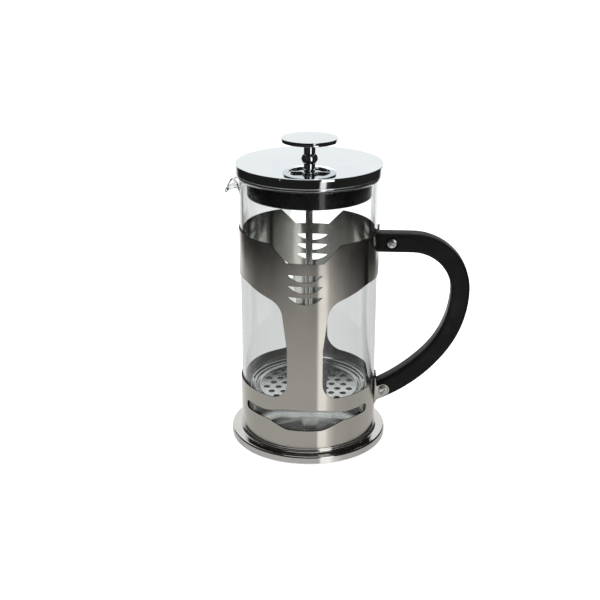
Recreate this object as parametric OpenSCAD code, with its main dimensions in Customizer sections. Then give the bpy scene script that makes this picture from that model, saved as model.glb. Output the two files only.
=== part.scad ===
// French press: a glass beaker in a pressed steel frame with a D handle, a steel lid and a filter plunger.
// The base stands on z = 0, the beaker's axis is Z, the handle is towards +X and the spout towards -X.

/* [Beaker] */
// Outer diameter of the glass
glass_d = 98.2; // [80:0.1:125]
// Wall thickness of the glass
glass_wall = 2.2; // [1.6:0.1:3]
// Height of the glass from its foot to its rim
glass_h = 188.2; // [155:0.1:240]
// Thickness of the glass floor
glass_floor = 3.2; // [2:0.1:5]
// Radius of the rounded edge between wall and floor
glass_corner = 10; // [6:0.5:14]
// How far the spout reaches out of the wall
spout_reach = 9.4; // [5:0.1:14]
// How far below the rim the spout starts
spout_drop = 14.4; // [10:0.1:20]
// Width of the spout
spout_w = 24; // [16:1:32]
// Lean of the spout from upright
spout_lean = 62; // [45:1:70]

/* [Frame] */
// Thickness of the steel sheet
sheet_t = 0.6; // [0.4:0.1:1.2]
// Gap between the glass and the sheet
frame_gap = 0.3; // [0.2:0.05:0.6]
// Height of glass that stands out above the frame
glass_show = 37.1; // [30:0.1:50]
// Height of the upper band of the frame
upper_band_h = 33.2; // [30:0.1:40]
// Height of the lower band of the frame
lower_band_h = 37.7; // [36:0.1:45]
// Width of the front and back struts, along the sheet
strut_w = 25.4; // [16:0.1:34]
// Depth of the notch in the upper edge
notch_depth = 12.2; // [6:0.1:13]
// Width of the notch at the upper edge
notch_top_w = 50; // [40:0.5:60]
// Width of the notch's flat bottom
notch_bottom_w = 25.6; // [16:0.1:32]
// Width of each smile-shaped slot
smile_w = 24.7; // [16:0.1:28]
// Depth of each smile-shaped slot
smile_depth = 5.3; // [3:0.1:6]
// Number of smile-shaped slots
smile_count = 3; // [1:1:3]
// Distance from one smile-shaped slot to the next
smile_pitch = 7.9; // [7:0.1:10]
// Angle from the front to each end of the boat-shaped slot in the lower band
boat_angle = 60; // [45:1:62]
// Width of the flange that turns in under the glass
foot_flange = 5; // [3:0.5:6]

/* [Base] */
// How far the base reaches past the frame
base_flange = 7.25; // [4:0.25:14]
// Height of the flange's upper face
base_rim_h = 6.2; // [4:0.1:8]
// Height of the raised middle that carries the glass
boss_h = 9.3; // [8.5:0.1:12]
// Thickness of the base's steel
plate_t = 0.8; // [0.5:0.1:1.2]
// Height of the plate's rim above the table
rim_lift = 0.6; // [0.3:0.1:1]
// Thickness of the non-slip pad
pad_t = 2.2; // [1.5:0.1:3]

/* [Handle] */
// Thickness of the handle
handle_t = 14; // [12:0.5:20]
// Size of the step that eases the handle's long edges
handle_ease = 1.4; // [0.5:0.1:2]
// Height of the upper screw below the frame's upper edge
upper_screw_drop = 10; // [9:0.1:12]
// Distance from the frame to the upper screw
upper_screw_out = 8.8; // [7:0.1:12]
// Distance from the frame to the lower screw
lower_screw_out = 5.8; // [5:0.1:9]
// Height of the lower screw above the beaker's foot
lower_screw_up = 27.8; // [25:0.1:29]
// Diameter of the handle screws
screw_d = 4; // [3:0.5:5]
// Diameter of the handle screws' heads
screw_head_d = 7.2; // [5.5:0.1:8.4]
// Height of the handle screws' heads
screw_head_h = 2.2; // [1.5:0.1:2.5]

/* [Lid] */
// How far the lid cap reaches past the glass
lid_overhang = 2.6; // [2:0.1:5]
// Height of the cap's side wall
lid_side_h = 6.9; // [5:0.1:12]
// Rise of the domed top
lid_dome = 2.45; // [1:0.05:6]
// Thickness of the cap's steel
cap_t = 0.7; // [0.5:0.1:1]
// Height of the narrow hem under the cap's side wall
hem_h = 1.5; // [1:0.1:2]
// How far the hem sits inside the side wall
hem_step = 0.8; // [0.6:0.1:1]
// Gap between the lid ring and the inside of the glass
ring_gap = 2.9; // [1:0.1:4]
// How far the lid ring reaches down into the glass
ring_depth = 13.65; // [8:0.05:22]
// Wall thickness of the lid ring
ring_wall = 2.2; // [1.5:0.1:3]
// Diameter of the guide bush's bead
bush_d = 12; // [11:0.5:16]
// Height of the guide bush's bead above the lid
bush_h = 3.5; // [2:0.1:6]

/* [Plunger] */
// Diameter of the plunger rod
rod_d = 5; // [4:0.1:6]
// Running clearance between the rod and the guide bush, on the radius
rod_clear = 0.06; // [0.02:0.01:0.1]
// Diameter of the knob
knob_d = 40; // [30:0.5:48]
// Thickness of the knob's disc
knob_t = 4; // [3:0.1:6]
// Diameter of the knob's stem
stem_d = 8.4; // [8.2:0.1:10]
// Height of the knob's stem
stem_h = 8.3; // [6:0.1:16]
// Height of the filter plate above the glass floor when the plunger is down
filter_up = 25.2; // [20:0.1:34]
// Gap between the filter's edge and the glass
filter_gap = 0.3; // [0.2:0.05:0.6]
// Radius of the coil round the filter's edge
coil_r = 1.7; // [1.2:0.1:2.2]
// Thickness of the filter's steel plates
filter_t = 0.6; // [0.4:0.1:0.8]
// Diameter of the filter plate's large holes
hole_d = 4.7; // [3:0.1:5.5]
// Distance between neighbouring large holes
hole_pitch = 8.7; // [7.5:0.1:11]

/* [Hidden] */
$fn = 96;
arc_steps = 10;
past = 1;                                  // how far a cutter runs past what it cuts
fit = 0.05;                                // clearance between a screw or bush and what it passes

// Heights and radii that the pieces share
glass_r = glass_d / 2;
glass_in_r = glass_r - glass_wall;
rim_z = boss_h + glass_h;
sheet_in_r = glass_r + frame_gap;
frame_r = sheet_in_r + sheet_t;
frame_top = rim_z - glass_show;
window_top = frame_top - upper_band_h;
window_low = boss_h + lower_band_h;
base_r = frame_r + base_flange;

// Lid
cap_r = glass_r + lid_overhang;
hem_r = cap_r - hem_step;
cap_low = rim_z + 2.4;
cap_edge = cap_low + lid_side_h;
cap_apex = cap_edge + lid_dome;
ring_r = glass_in_r - ring_gap;
ring_low = rim_z - ring_depth;
bush_shank_r = rod_d / 2 + 1.5;
bush_top = cap_apex + bush_h;
bush_nut_h = 3.2;
bush_nut_r = bush_shank_r + 4;
hub_r = bush_shank_r + 3;

// Plunger
stem_top = bush_top + stem_h;
knob_top = stem_top + knob_t;
insert_r = rod_d / 2 + 0.8;
plate_z = boss_h + glass_floor + filter_up;
coil_ring_r = glass_in_r - filter_gap - coil_r;
coil_z = plate_z + 2.4;
plate_flat_r = coil_ring_r - 4.6;
hub_nut_h = 5;
collar_h = 4;
rod_low = plate_z - filter_t - mesh_t() - cross_t() - hub_nut_h - 1;

// Handle: places of the screws
upper_x = frame_r + upper_screw_out;
upper_z = frame_top - upper_screw_drop;
lower_x = frame_r + lower_screw_out;
lower_z = boss_h + lower_screw_up;
tab_y = handle_t / 2 + fit;
tab_r = 4.6;
tab_half = 5.2;
slot_half = sheet_t + 0.35;
nut_flat = screw_d * 1.75;
nut_h = screw_d * 0.8;

function mesh_t() = 0.4;
function cross_t() = 0.8;

// Points on an arc about a centre, from angle a0 to angle a1
function arc_points(cx, cy, r, a0, a1, steps = arc_steps) =
    [for (i = [0:steps]) let (a = a0 + (a1 - a0) * i / steps) [cx + r * cos(a), cy + r * sin(a)]];

// Corner b of a path a-b-c, rounded with radius r
function round_corner(a, b, c, r, steps = 8) =
    let (
        u = (a - b) / norm(a - b),
        v = (c - b) / norm(c - b),
        half = acos(u * v) / 2,
        reach = r / tan(half),
        p = b + u * reach,
        centre = b + (u + v) / norm(u + v) * r / sin(half),
        q = b + v * reach,
        a0 = atan2(p.y - centre.y, p.x - centre.x),
        raw = atan2(q.y - centre.y, q.x - centre.x) - a0,
        turn = raw > 180 ? raw - 360 : raw < -180 ? raw + 360 : raw
    )
    [for (i = [0:steps]) centre + r * [cos(a0 + turn * i / steps), sin(a0 + turn * i / steps)]];

// Closed outline whose corners [x, y, r] are rounded where r is more than 0
function round_outline(corners) =
    let (n = len(corners))
    [for (i = [0:n - 1])
        let (
            before = corners[(i + n - 1) % n],
            here = corners[i],
            after = corners[(i + 1) % n]
        )
        each here[2] > 0
            ? round_corner([before.x, before.y], [here.x, here.y], [after.x, after.y], here[2])
            : [[here.x, here.y]]];

// A point of the flat sheet pattern, seen from the front once the sheet is rolled
function rolled(p) = [frame_r * sin(p.x / frame_r * 180 / PI), p.y];
function rolled_all(points) = [for (p = points) rolled(p)];

// Extrude a front view (x, z) along Y from y0 to y1
module front_view(y0, y1) {
    translate([0, y1, 0]) rotate([90, 0, 0]) linear_extrude(y1 - y0) children();
}

module ring(r_out, r_in, z0, z1) {
    translate([0, 0, z0]) difference() {
        cylinder(r = r_out, h = z1 - z0);
        translate([0, 0, -past]) cylinder(r = r_in, h = z1 - z0 + 2 * past);
    }
}

module disc(r, z0, z1) {
    translate([0, 0, z0]) cylinder(r = r, h = z1 - z0);
}

// ---- Base ----

// Outline of the pressed base, drawn inward by the given amount
module base_profile(inset) {
    r = base_r - inset;
    rim = base_rim_h - inset;
    boss = boss_h - inset;
    boss_r = frame_r + 0.4 - inset;
    polygon(concat(
        [[0, inset > 0 ? -past : rim_lift], [r, inset > 0 ? -past : rim_lift]],
        arc_points(r - 1.2, rim - 1.2, 1.2, 0, 90),
        arc_points(boss_r + 1.4, rim + 1.4, 1.4, 270, 180),
        [[boss_r, boss - 0.4], [boss_r - 0.4, boss], [0, boss]]
    ));
}

module base_plate() {
    color("silver") rotate_extrude() difference() {
        base_profile(0);
        base_profile(plate_t);
    }
}

module base_pad() {
    pad_r = base_r - plate_t - 0.25;
    wall = 2.4;
    color([0.08, 0.08, 0.09]) union() {
        disc(pad_r, 0, pad_t);
        ring(frame_r - plate_t - 1, frame_r - plate_t - 1 - wall, pad_t - 0.01, boss_h - plate_t);
        ring(pad_r, pad_r - wall, pad_t - 0.01, base_rim_h - plate_t - 1);
    }
}

// ---- Frame ----

module notch_cut() {
    top = frame_top + past;
    grow = past * (notch_top_w - notch_bottom_w) / 2 / notch_depth;
    polygon(rolled_all([
        [-notch_top_w / 2 - grow, top], [-notch_bottom_w / 2, frame_top - notch_depth],
        [notch_bottom_w / 2, frame_top - notch_depth], [notch_top_w / 2 + grow, top]
    ]));
}

module smile_cut(top) {
    half = smile_w / 2;
    r = (half * half + smile_depth * smile_depth) / 2 / smile_depth;
    intersection() {
        translate([0, top + r - smile_depth]) circle(r = r);
        translate([-half - past, top - smile_depth - past]) square([smile_w + 2 * past, smile_depth + past]);
    }
}

// Length along the sheet of an angle from the front
function along(angle) = frame_r * angle * PI / 180;

// Half of a side window, from the strut to past the sheet's widest point
window_shoulder = 57;                      // angle at which the window reaches its full height
function window_points() =
    let (
        side = along(window_shoulder + 9),
        edge = strut_w / 2,
        rise = window_top - window_low,
        out = frame_r + past
    )
    concat(
        rolled_all(round_outline([
            [side, window_low, 0],
            [edge, window_low, min(12, rise / 5)],
            [edge, window_low + rise * 0.475, min(40, rise / 3)],
            [edge + 4.6, window_top - 9.2, 13],
            [along(window_shoulder), window_top, 30],
            [side, window_top, 0]
        ])),
        [[out, window_top], [out, window_low]]
    );

// Boat-shaped slot of the lower band
function boat_points() =
    let (
        boat_half = along(boat_angle),
        low = window_low - 24,
        side_low = window_low - 18.2,
        side_high = window_low - 11.9,
        high = window_low - 8
    )
    round_outline([
        [boat_half, side_low, 2.8], [28.5, side_low, 20], [13, low, 14],
        [-13, low, 14], [-28.5, side_low, 20], [-boat_half, side_low, 2.8],
        [-boat_half, side_high, 2.8], [-29, side_high, 40], [-14, high, 40],
        [14, high, 40], [29, side_high, 40], [boat_half, side_high, 2.8]
    ]);

module front_and_back_cuts() {
    front_view(-base_r, base_r) union() {
        notch_cut();
        for (i = [0:smile_count - 1]) smile_cut(frame_top - 20.2 - i * smile_pitch);
        polygon(window_points());
        mirror([1, 0]) polygon(window_points());
        polygon(rolled_all(boat_points()));
    }
}

// One of the two upper tabs, flat in the handle's slot
module upper_tab() {
    low = upper_z - tab_half;
    high = upper_z + tab_half;
    root = frame_r - sheet_t / 2;
    end = upper_x + 5;
    front_view(0.15, 0.15 + sheet_t) difference() {
        polygon(round_outline([
            [root, low, 0], [end, low, 3], [end, high, 3], [root, high, 0]
        ]));
        translate([upper_x, upper_z]) circle(d = screw_d + 2 * fit);
    }
}

// One of the two lower tabs, on the handle's outer faces
module lower_tab() {
    root = sqrt(pow(frame_r - sheet_t / 2, 2) - pow(tab_y + sheet_t / 2, 2));
    front_view(tab_y, tab_y + sheet_t) difference() {
        union() {
            translate([lower_x, lower_z]) circle(r = tab_r);
            polygon([
                [root, lower_z - 8.3], [root, lower_z + 1.5], [lower_x - 1.5, lower_z + tab_r - 0.3],
                [lower_x + 2.5, lower_z - tab_r + 0.8]
            ]);
        }
        translate([lower_x, lower_z]) circle(d = screw_d + 2 * fit);
    }
}

module frame_sheet() {
    color([0.62, 0.6, 0.58]) union() {
        difference() {
            ring(frame_r, sheet_in_r, boss_h, frame_top);
            front_and_back_cuts();
            // seam of the upper band
            translate([0, -0.15, window_low]) cube([base_r, 0.3, frame_top]);
            // the handle's lower end stands in this gap, above the seam of the lower band
            translate([0, -tab_y, lower_z - 12]) cube([base_r, 2 * tab_y, window_low]);
            translate([0, -0.15, boss_h + 2]) cube([base_r, 0.3, window_low]);
        }
        ring(frame_r, sheet_in_r - foot_flange, boss_h, boss_h + sheet_t);
        upper_tab();
        mirror([0, 1, 0]) upper_tab();
        lower_tab();
        mirror([0, 1, 0]) lower_tab();
    }
}

// ---- Handle ----

// Radii and centres of the handle's arcs stay as drawn for this height between the screws
handle_drawn_rise = 113.3;
handle_stretch = (upper_z - lower_z) / handle_drawn_rise;

// A drawn point [out from the frame, up from the lower screw], stretched to the real screw heights
function on_handle(p) = [frame_r + p.x, lower_z + p.y * handle_stretch];

// Side view of the handle, drawn inward by the given amount
function handle_points(inset) =
    let (
        outer = concat(
            [[0, 120.3 - inset]],
            arc_points(23.2, 78, 42.3 - inset, 90, 0),
            arc_points(-16, 78, 81.5 - inset, 0, -33.9),
            arc_points(-44.4, 97, 115.7 - inset, -33.9, -68)
        ),
        inner = concat(
            arc_points(-59, 116.5, 125.9 + inset, -62.6, -43.2),
            arc_points(-18, 78.1, 69.8 + inset, -43.2, 0),
            arc_points(23.6, 78.1, 28.2 + inset, 0, 90),
            [[0, 106.3 + inset]]
        )
    )
    [for (p = concat(outer, inner)) on_handle(p)];

module handle() {
    half = handle_t / 2;
    color([0.1, 0.1, 0.1]) difference() {
        union() {
            front_view(-half + handle_ease, half - handle_ease) polygon(handle_points(0));
            front_view(-half + handle_ease / 3, half - handle_ease / 3)
                polygon(handle_points(handle_ease / 3));
            front_view(-half, half) polygon(handle_points(handle_ease));
        }
        // hollow ends that fit round the frame
        translate([0, 0, boss_h]) cylinder(r = frame_r + 0.2, h = rim_z);
        // slot for the upper tabs
        translate([frame_r - 2, -slot_half, upper_z - tab_half - 0.4])
            cube([upper_screw_out + 7.4, 2 * slot_half, 2 * tab_half + 0.8]);
        // upper screw: bore, room for its head and pocket for its nut
        translate([upper_x, half + past, upper_z]) rotate([90, 0, 0])
            cylinder(d = screw_d + 0.3, h = handle_t + 2 * past);
        translate([upper_x, -half - past, upper_z]) rotate([-90, 0, 0])
            cylinder(d = screw_head_d + 1.6, h = screw_head_h + past);
        translate([upper_x, half + past, upper_z]) rotate([90, 0, 0])
            cylinder(d = nut_flat / cos(30) + 0.4, h = nut_h + past);
        // lower screw
        translate([lower_x, half + past, lower_z]) rotate([90, 0, 0])
            cylinder(d = screw_d + 0.3, h = handle_t + 2 * past);
    }
}

// A screw along +Y whose head's underside is at y = 0
module screw(length, slot_count) {
    color("gainsboro") difference() {
        union() {
            rotate([90, 0, 0]) cylinder(d = screw_head_d, h = screw_head_h * 0.55);
            rotate([90, 0, 0]) cylinder(d = screw_head_d * 0.86, h = screw_head_h * 0.85);
            rotate([90, 0, 0]) cylinder(d = screw_head_d * 0.6, h = screw_head_h);
            rotate([-90, 0, 0]) cylinder(d = screw_d, h = length);
        }
        for (i = [1:slot_count]) rotate([0, i * 90 + 40, 0])
            translate([-screw_head_d * 0.32, -screw_head_h - past, -0.5])
                cube([screw_head_d * 0.64, screw_head_h * 0.5 + past, 1]);
    }
}

// A hex nut along +Y from y = 0
module nut() {
    color("gainsboro") rotate([-90, 0, 0]) difference() {
        cylinder(d = nut_flat / cos(30), h = nut_h, $fn = 6);
        translate([0, 0, -past]) cylinder(d = screw_d + fit, h = nut_h + 2 * past);
    }
}

module upper_screw() {
    translate([upper_x, -handle_t / 2 + screw_head_h, upper_z]) screw(handle_t - screw_head_h - 0.3, 2);
}

module upper_nut() {
    translate([upper_x, handle_t / 2 - nut_h, upper_z]) nut();
}

module lower_screw() {
    translate([lower_x, -tab_y - sheet_t, lower_z]) screw(2 * (tab_y + sheet_t) + nut_h + 0.6, 1);
}

module lower_nut() {
    translate([lower_x, tab_y + sheet_t, lower_z]) nut();
}

// ---- Beaker ----

module glass_profile(r, low, corner, high) {
    polygon(concat([[0, low]], arc_points(r - corner, low + corner, corner, -90, 0), [[r, high], [0, high]]));
}

// Leaning round bar along the spout, of radius r
module spout_bar(r) {
    translate([-glass_r, 0, rim_z - spout_drop]) rotate([0, -spout_lean, 0])
        translate([spout_w / 2, 0, -glass_wall * 6]) cylinder(r = r, h = spout_reach * 4);
}

module beaker() {
    slope = 34;
    color([0.8, 0.88, 0.9, 0.35]) difference() {
        union() {
            rotate_extrude() glass_profile(glass_r, boss_h, glass_corner, rim_z);
            intersection() {
                spout_bar(spout_w / 2);
                disc(glass_r + spout_reach, rim_z - spout_drop - past, rim_z);
                // sloping mouth of the spout
                translate([-glass_r - spout_reach, 0, rim_z - spout_drop + 4]) rotate([0, slope, 0])
                    translate([0, -spout_w, -spout_drop]) cube([glass_r, 2 * spout_w, 3 * spout_drop]);
            }
        }
        rotate_extrude()
            glass_profile(glass_in_r, boss_h + glass_floor, glass_corner - glass_wall, rim_z + past);
        intersection() {
            spout_bar(spout_w / 2 - glass_wall);
            disc(glass_r + 2 * spout_reach, rim_z - spout_drop - past, rim_z + past);
            translate([-glass_r - 2 * spout_reach, -spout_w, 0])
                cube([glass_r + 2 * spout_reach, 2 * spout_w, 2 * rim_z]);
        }
    }
}

// ---- Lid ----

// Height of the cap's domed top at radius r
cap_ball = (cap_r * cap_r + lid_dome * lid_dome) / 2 / lid_dome;
function dome_z(r) = cap_apex - cap_ball + sqrt(cap_ball * cap_ball - r * r);

module lid_cap() {
    bore = bush_shank_r + 0.1;
    ease = 0.7;
    top = [for (i = [0:8]) let (r = bore + (cap_r - ease - bore) * i / 8) [r, dome_z(r)]];
    under = [for (i = [8:-1:0]) let (r = bore + (cap_r - cap_t - bore) * i / 8) [r, dome_z(r) - cap_t]];
    color("silver") rotate_extrude() polygon(concat(
        top,
        [[cap_r, dome_z(cap_r) - ease], [cap_r, cap_low]],
        [[hem_r, cap_low - 0.2], [hem_r, cap_low - 0.2 - hem_h], [hem_r - cap_t, cap_low - 0.2 - hem_h]],
        [[hem_r - cap_t, cap_low + 0.4], [cap_r - cap_t, cap_low + 0.6]],
        under
    ));
}

module lid_ring() {
    flange_r = hem_r - cap_t - 0.2;
    flange_top = cap_low - 0.2;
    color([0.07, 0.07, 0.07]) difference() {
        union() {
            ring(ring_r, ring_r - ring_wall, ring_low, flange_top);
            ring(flange_r, ring_r - ring_wall, rim_z, flange_top);
            ring(flange_r, flange_r - ring_wall, flange_top - 0.01, dome_z(flange_r) - cap_t - 0.2);
            disc(ring_r - 0.6, ring_low, ring_low + ring_wall);
            disc(hub_r, ring_low, dome_z(hub_r) - cap_t);
        }
        disc(bush_shank_r + fit, ring_low - past, cap_apex);
    }
}

module guide_bush() {
    bead_r = bush_d / 2;
    top_r = stem_d / 2 + 0.2;
    bead_h = bush_h / sqrt(1 - top_r * top_r / bead_r / bead_r);
    shank_low = ring_low - bush_nut_h - 0.4;
    bead = [
        for (i = [0:8]) let (h = bush_h * i / 8)
            [bead_r * sqrt(1 - h * h / bead_h / bead_h), cap_apex + h]
    ];
    color("silver") rotate_extrude() polygon(concat(
        [[rod_d / 2 + rod_clear, shank_low], [bush_shank_r, shank_low], [bush_shank_r, cap_apex]],
        [[bead_r, cap_apex]],
        bead,
        [[rod_d / 2 + rod_clear, bush_top]]
    ));
}

module bush_nut() {
    color("silver") difference() {
        translate([0, 0, ring_low - bush_nut_h]) cylinder(r = bush_nut_r, h = bush_nut_h, $fn = 6);
        disc(bush_shank_r + fit, ring_low - bush_nut_h - past, ring_low + past);
    }
}

// ---- Plunger ----

module plunger_rod() {
    color("silver") disc(rod_d / 2, rod_low, stem_top - 1);
}

module knob() {
    r = knob_d / 2;
    under_r = r - 3.2;
    pocket_r = under_r - 1.4;
    pocket = knob_t * 0.55;
    color("silver") difference() {
        rotate_extrude() polygon([
            [0, knob_top], [r * 0.55, knob_top - 0.3], [r - 1, knob_top - 0.85], [r, knob_top - 1.2],
            [r, knob_top - 1.6], [under_r, stem_top], [stem_d / 2, stem_top],
            [stem_d / 2, bush_top], [0, bush_top]
        ]);
        disc(insert_r, bush_top - past, stem_top - 0.5);
        // four pockets under the disc, with ribs between them
        difference() {
            ring(pocket_r, stem_d / 2 + 1.5, stem_top - past, stem_top + pocket);
            for (a = [0, 90]) rotate([0, 0, a]) translate([-r, -0.8, stem_top - 2 * past])
                cube([2 * r, 1.6, pocket + 4 * past]);
        }
    }
}

module knob_insert() {
    color("goldenrod") ring(insert_r, rod_d / 2, bush_top + 0.3, stem_top - 1);
}

module rod_collar() {
    color("silver") ring(rod_d / 2 + 2.5, rod_d / 2, plate_z, plate_z + collar_h);
}

// A thin dished disc: flat, then rising at the edge
module dished(top, thick, flat_r, edge_r, rise, bore) {
    rotate_extrude() polygon([
        [bore, top - thick], [flat_r, top - thick], [edge_r, top - thick + rise],
        [edge_r, top + rise], [flat_r - 0.2, top], [bore, top]
    ]);
}

module spiral_plate() {
    rows = floor((plate_flat_r - 6) / hole_pitch);
    edge = coil_ring_r - coil_r + 0.5;
    color("gainsboro") difference() {
        dished(plate_z, filter_t, plate_flat_r, edge, coil_z - plate_z, rod_d / 2 + fit);
        for (i = [-rows:rows]) for (j = [-rows:rows]) {
            x = hole_pitch * (i + j / 2);
            y = hole_pitch * j * sqrt(3) / 2;
            far = norm([x, y]);
            if (far > 7 && far < plate_flat_r - 6)
                translate([x, y, plate_z - filter_t - past])
                    cylinder(d = hole_d, h = filter_t + 2 * past, $fn = 24);
        }
    }
}

module edge_spring() {
    wire = 0.5;
    slit_low = filter_t + 0.5;
    color("gray") rotate_extrude() translate([coil_ring_r, coil_z]) difference() {
        circle(r = coil_r, $fn = 32);
        circle(r = coil_r - wire, $fn = 32);
        // slit that takes the edge of the filter plate
        translate([-2 * coil_r, -slit_low]) square([1.5 * coil_r, slit_low + 0.1]);
    }
}

module mesh_screen() {
    edge = coil_ring_r - coil_r - 0.3;
    color("dimgray")
        dished(plate_z - filter_t, mesh_t(), plate_flat_r + 0.3, edge, 1.2, rod_d / 2 + fit);
}

module cross_plate() {
    top = plate_z - filter_t - mesh_t();
    outer = plate_flat_r - 4;
    color("silver") difference() {
        dished(top, cross_t(), plate_flat_r + 0.5, coil_ring_r - coil_r - 0.5, 1, rod_d / 2 + fit);
        for (a = [0:90:270]) rotate([0, 0, a + 12]) rotate_extrude(angle = 66)
            translate([11, top - cross_t() - past]) square([outer - 11, cross_t() + 2 * past]);
    }
}

module hub_nut() {
    top = plate_z - filter_t - mesh_t() - cross_t();
    color("silver") difference() {
        translate([0, 0, top - hub_nut_h]) cylinder(r = rod_d / 2 + 4.5, h = hub_nut_h, $fn = 6);
        disc(rod_d / 2 + fit, top - hub_nut_h - past, top + past);
    }
}

base_plate();
base_pad();
frame_sheet();
handle();
upper_screw();
upper_nut();
lower_screw();
lower_nut();
beaker();
lid_cap();
lid_ring();
guide_bush();
bush_nut();
plunger_rod();
knob();
knob_insert();
rod_collar();
spiral_plate();
edge_spring();
mesh_screen();
cross_plate();
hub_nut();
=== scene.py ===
"""Looks of the french press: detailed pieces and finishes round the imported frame, in a small studio.

Every shape is worked out in millimetres, in the frame's own axes: the beaker's axis is Z, the handle
points to +X, the spout to -X and the front is -Y. Meshes are written in metres.
"""

import logging
import math
from dataclasses import dataclass
from enum import Enum
from typing import Callable, Optional, Sequence

import bmesh
import bpy
import numpy as np
from mathutils import Matrix, Vector
from mathutils.geometry import delaunay_2d_cdt


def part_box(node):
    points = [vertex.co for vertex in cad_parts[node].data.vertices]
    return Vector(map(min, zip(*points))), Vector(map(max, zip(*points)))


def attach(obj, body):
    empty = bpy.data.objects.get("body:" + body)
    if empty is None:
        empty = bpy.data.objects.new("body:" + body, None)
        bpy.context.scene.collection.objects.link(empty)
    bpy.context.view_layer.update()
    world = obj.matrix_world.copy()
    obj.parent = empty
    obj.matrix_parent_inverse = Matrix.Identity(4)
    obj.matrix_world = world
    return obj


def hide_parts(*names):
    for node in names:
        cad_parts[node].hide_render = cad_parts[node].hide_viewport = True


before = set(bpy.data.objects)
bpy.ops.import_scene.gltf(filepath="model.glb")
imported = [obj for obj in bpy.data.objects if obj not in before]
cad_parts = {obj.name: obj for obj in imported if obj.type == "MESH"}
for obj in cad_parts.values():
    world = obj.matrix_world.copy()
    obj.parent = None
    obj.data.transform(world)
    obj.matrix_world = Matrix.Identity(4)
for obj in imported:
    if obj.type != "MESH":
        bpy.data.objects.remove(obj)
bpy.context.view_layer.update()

MM = 0.001
TURN = 2 * math.pi
Array = np.ndarray
Corner = tuple[float, float, float]
log = logging.getLogger("french_press")


class Body(Enum):
    """The bodies of the frame that a piece can ride on."""

    HOLDER = "holder"
    BEAKER = "beaker"
    LID = "lid"
    PLUNGER = "plunger"


def span(node: str) -> tuple[Array, Array]:
    """Gives a CAD node's box.

    Args:
        node: name of the node.

    Returns:
        Its lowest and highest corner in millimetres.
    """
    low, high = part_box(node)
    return np.array(low) / MM, np.array(high) / MM


# ---------------------------------------------------------------- outlines


def smooth(t: Array) -> Array:
    """Smooth step: 0 below 0, 1 above 1, and 3t^2 - 2t^3 between, so both ends are level."""
    t = np.clip(t, 0.0, 1.0)
    return t * t * (3.0 - 2.0 * t)


def arc(cx: float, cy: float, radius: float, start: float, end: float, steps: int = 12) -> Array:
    """Points on an arc: centre plus radius times (cos, sin) of an angle that runs evenly.

    Args:
        cx: centre across.
        cy: centre up.
        radius: radius of the arc.
        start: first angle in degrees.
        end: last angle in degrees.
        steps: number of chords.

    Returns:
        Array of (steps + 1, 2) points.
    """
    angle = np.radians(np.linspace(start, end, steps + 1))
    return np.stack([cx + radius * np.cos(angle), cy + radius * np.sin(angle)], axis=1)


def rounded(corners: Sequence[Corner], closed: bool = True, steps: int = 6) -> Array:
    """Rounds the corners of a path.

    At each corner the centre lies on the bisector, radius / sin(half angle) away, and the arc between the two
    tangent points replaces the corner.

    Args:
        corners: (x, y, radius) of each corner; a radius of 0 leaves it sharp.
        closed: whether the last corner joins the first.
        steps: number of chords in each arc.

    Returns:
        Array of (n, 2) points.
    """
    count = len(corners)
    pieces = []
    for i, (x, y, radius) in enumerate(corners):
        here = np.array([x, y])
        if radius <= 0 or (not closed and i in (0, count - 1)):
            pieces.append(here[None, :])
            continue
        u = np.array(corners[i - 1][:2]) - here
        v = np.array(corners[(i + 1) % count][:2]) - here
        u, v = u / np.linalg.norm(u), v / np.linalg.norm(v)
        half = math.acos(float(np.clip(u @ v, -1.0, 1.0))) / 2
        middle = here + (u + v) / np.linalg.norm(u + v) * radius / math.sin(half)
        start = here + u * radius / math.tan(half) - middle
        first = math.atan2(start[1], start[0])
        end = here + v * radius / math.tan(half) - middle
        sweep = (math.atan2(end[1], end[0]) - first + math.pi) % TURN - math.pi
        angle = first + sweep * np.linspace(0, 1, steps + 1)
        pieces.append(middle + radius * np.stack([np.cos(angle), np.sin(angle)], axis=1))
    return np.concatenate(pieces)


def divided(loop: Array, step: Callable[[Array], Array]) -> Array:
    """Splits the sides of a closed outline so that none is longer than step says at its midpoint.

    Args:
        loop: (n, 2) corners.
        step: greatest length of a side, from an array of midpoints.

    Returns:
        The finer outline.
    """
    ahead = np.roll(loop, -1, axis=0)
    length = np.linalg.norm(ahead - loop, axis=1)
    cuts = np.maximum(1, np.ceil(length / step((loop + ahead) / 2))).astype(int)
    owner = np.repeat(np.arange(len(loop)), cuts)
    part = (np.arange(len(owner)) - np.repeat(np.cumsum(cuts) - cuts, cuts)) / cuts[owner]
    return loop[owner] + (ahead - loop)[owner] * part[:, None]


def signed_area(loop: Array) -> float:
    """Half the sum of the cross products of neighbouring points: positive when it runs anticlockwise."""
    ahead = np.roll(loop, -1, axis=0)
    return float(np.sum(loop[:, 0] * ahead[:, 1] - loop[:, 1] * ahead[:, 0]) / 2)


def inside(points: Array, loops: Sequence[Array]) -> Array:
    """Tests points by the even-odd rule: inside, a ray to the right crosses the outlines an odd count.

    Args:
        points: (n, 2) points to test.
        loops: closed outlines, holes among them.

    Returns:
        Array of n booleans.
    """
    result = np.zeros(len(points), dtype=bool)
    for loop in loops:
        a, b = loop, np.roll(loop, -1, axis=0)
        rise = np.where(b[:, 1] == a[:, 1], 1e-12, b[:, 1] - a[:, 1])
        for block in np.array_split(np.arange(len(points)), max(1, len(points) // 4000)):
            x, y = points[block, 0][:, None], points[block, 1][:, None]
            between = (a[:, 1] > y) != (b[:, 1] > y)
            crossing = a[:, 0] + (y - a[:, 1]) / rise * (b[:, 0] - a[:, 0])
            result[block] ^= (np.count_nonzero(between & (x < crossing), axis=1) % 2).astype(bool)
    return result


# ---------------------------------------------------------------- surfaces


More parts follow.
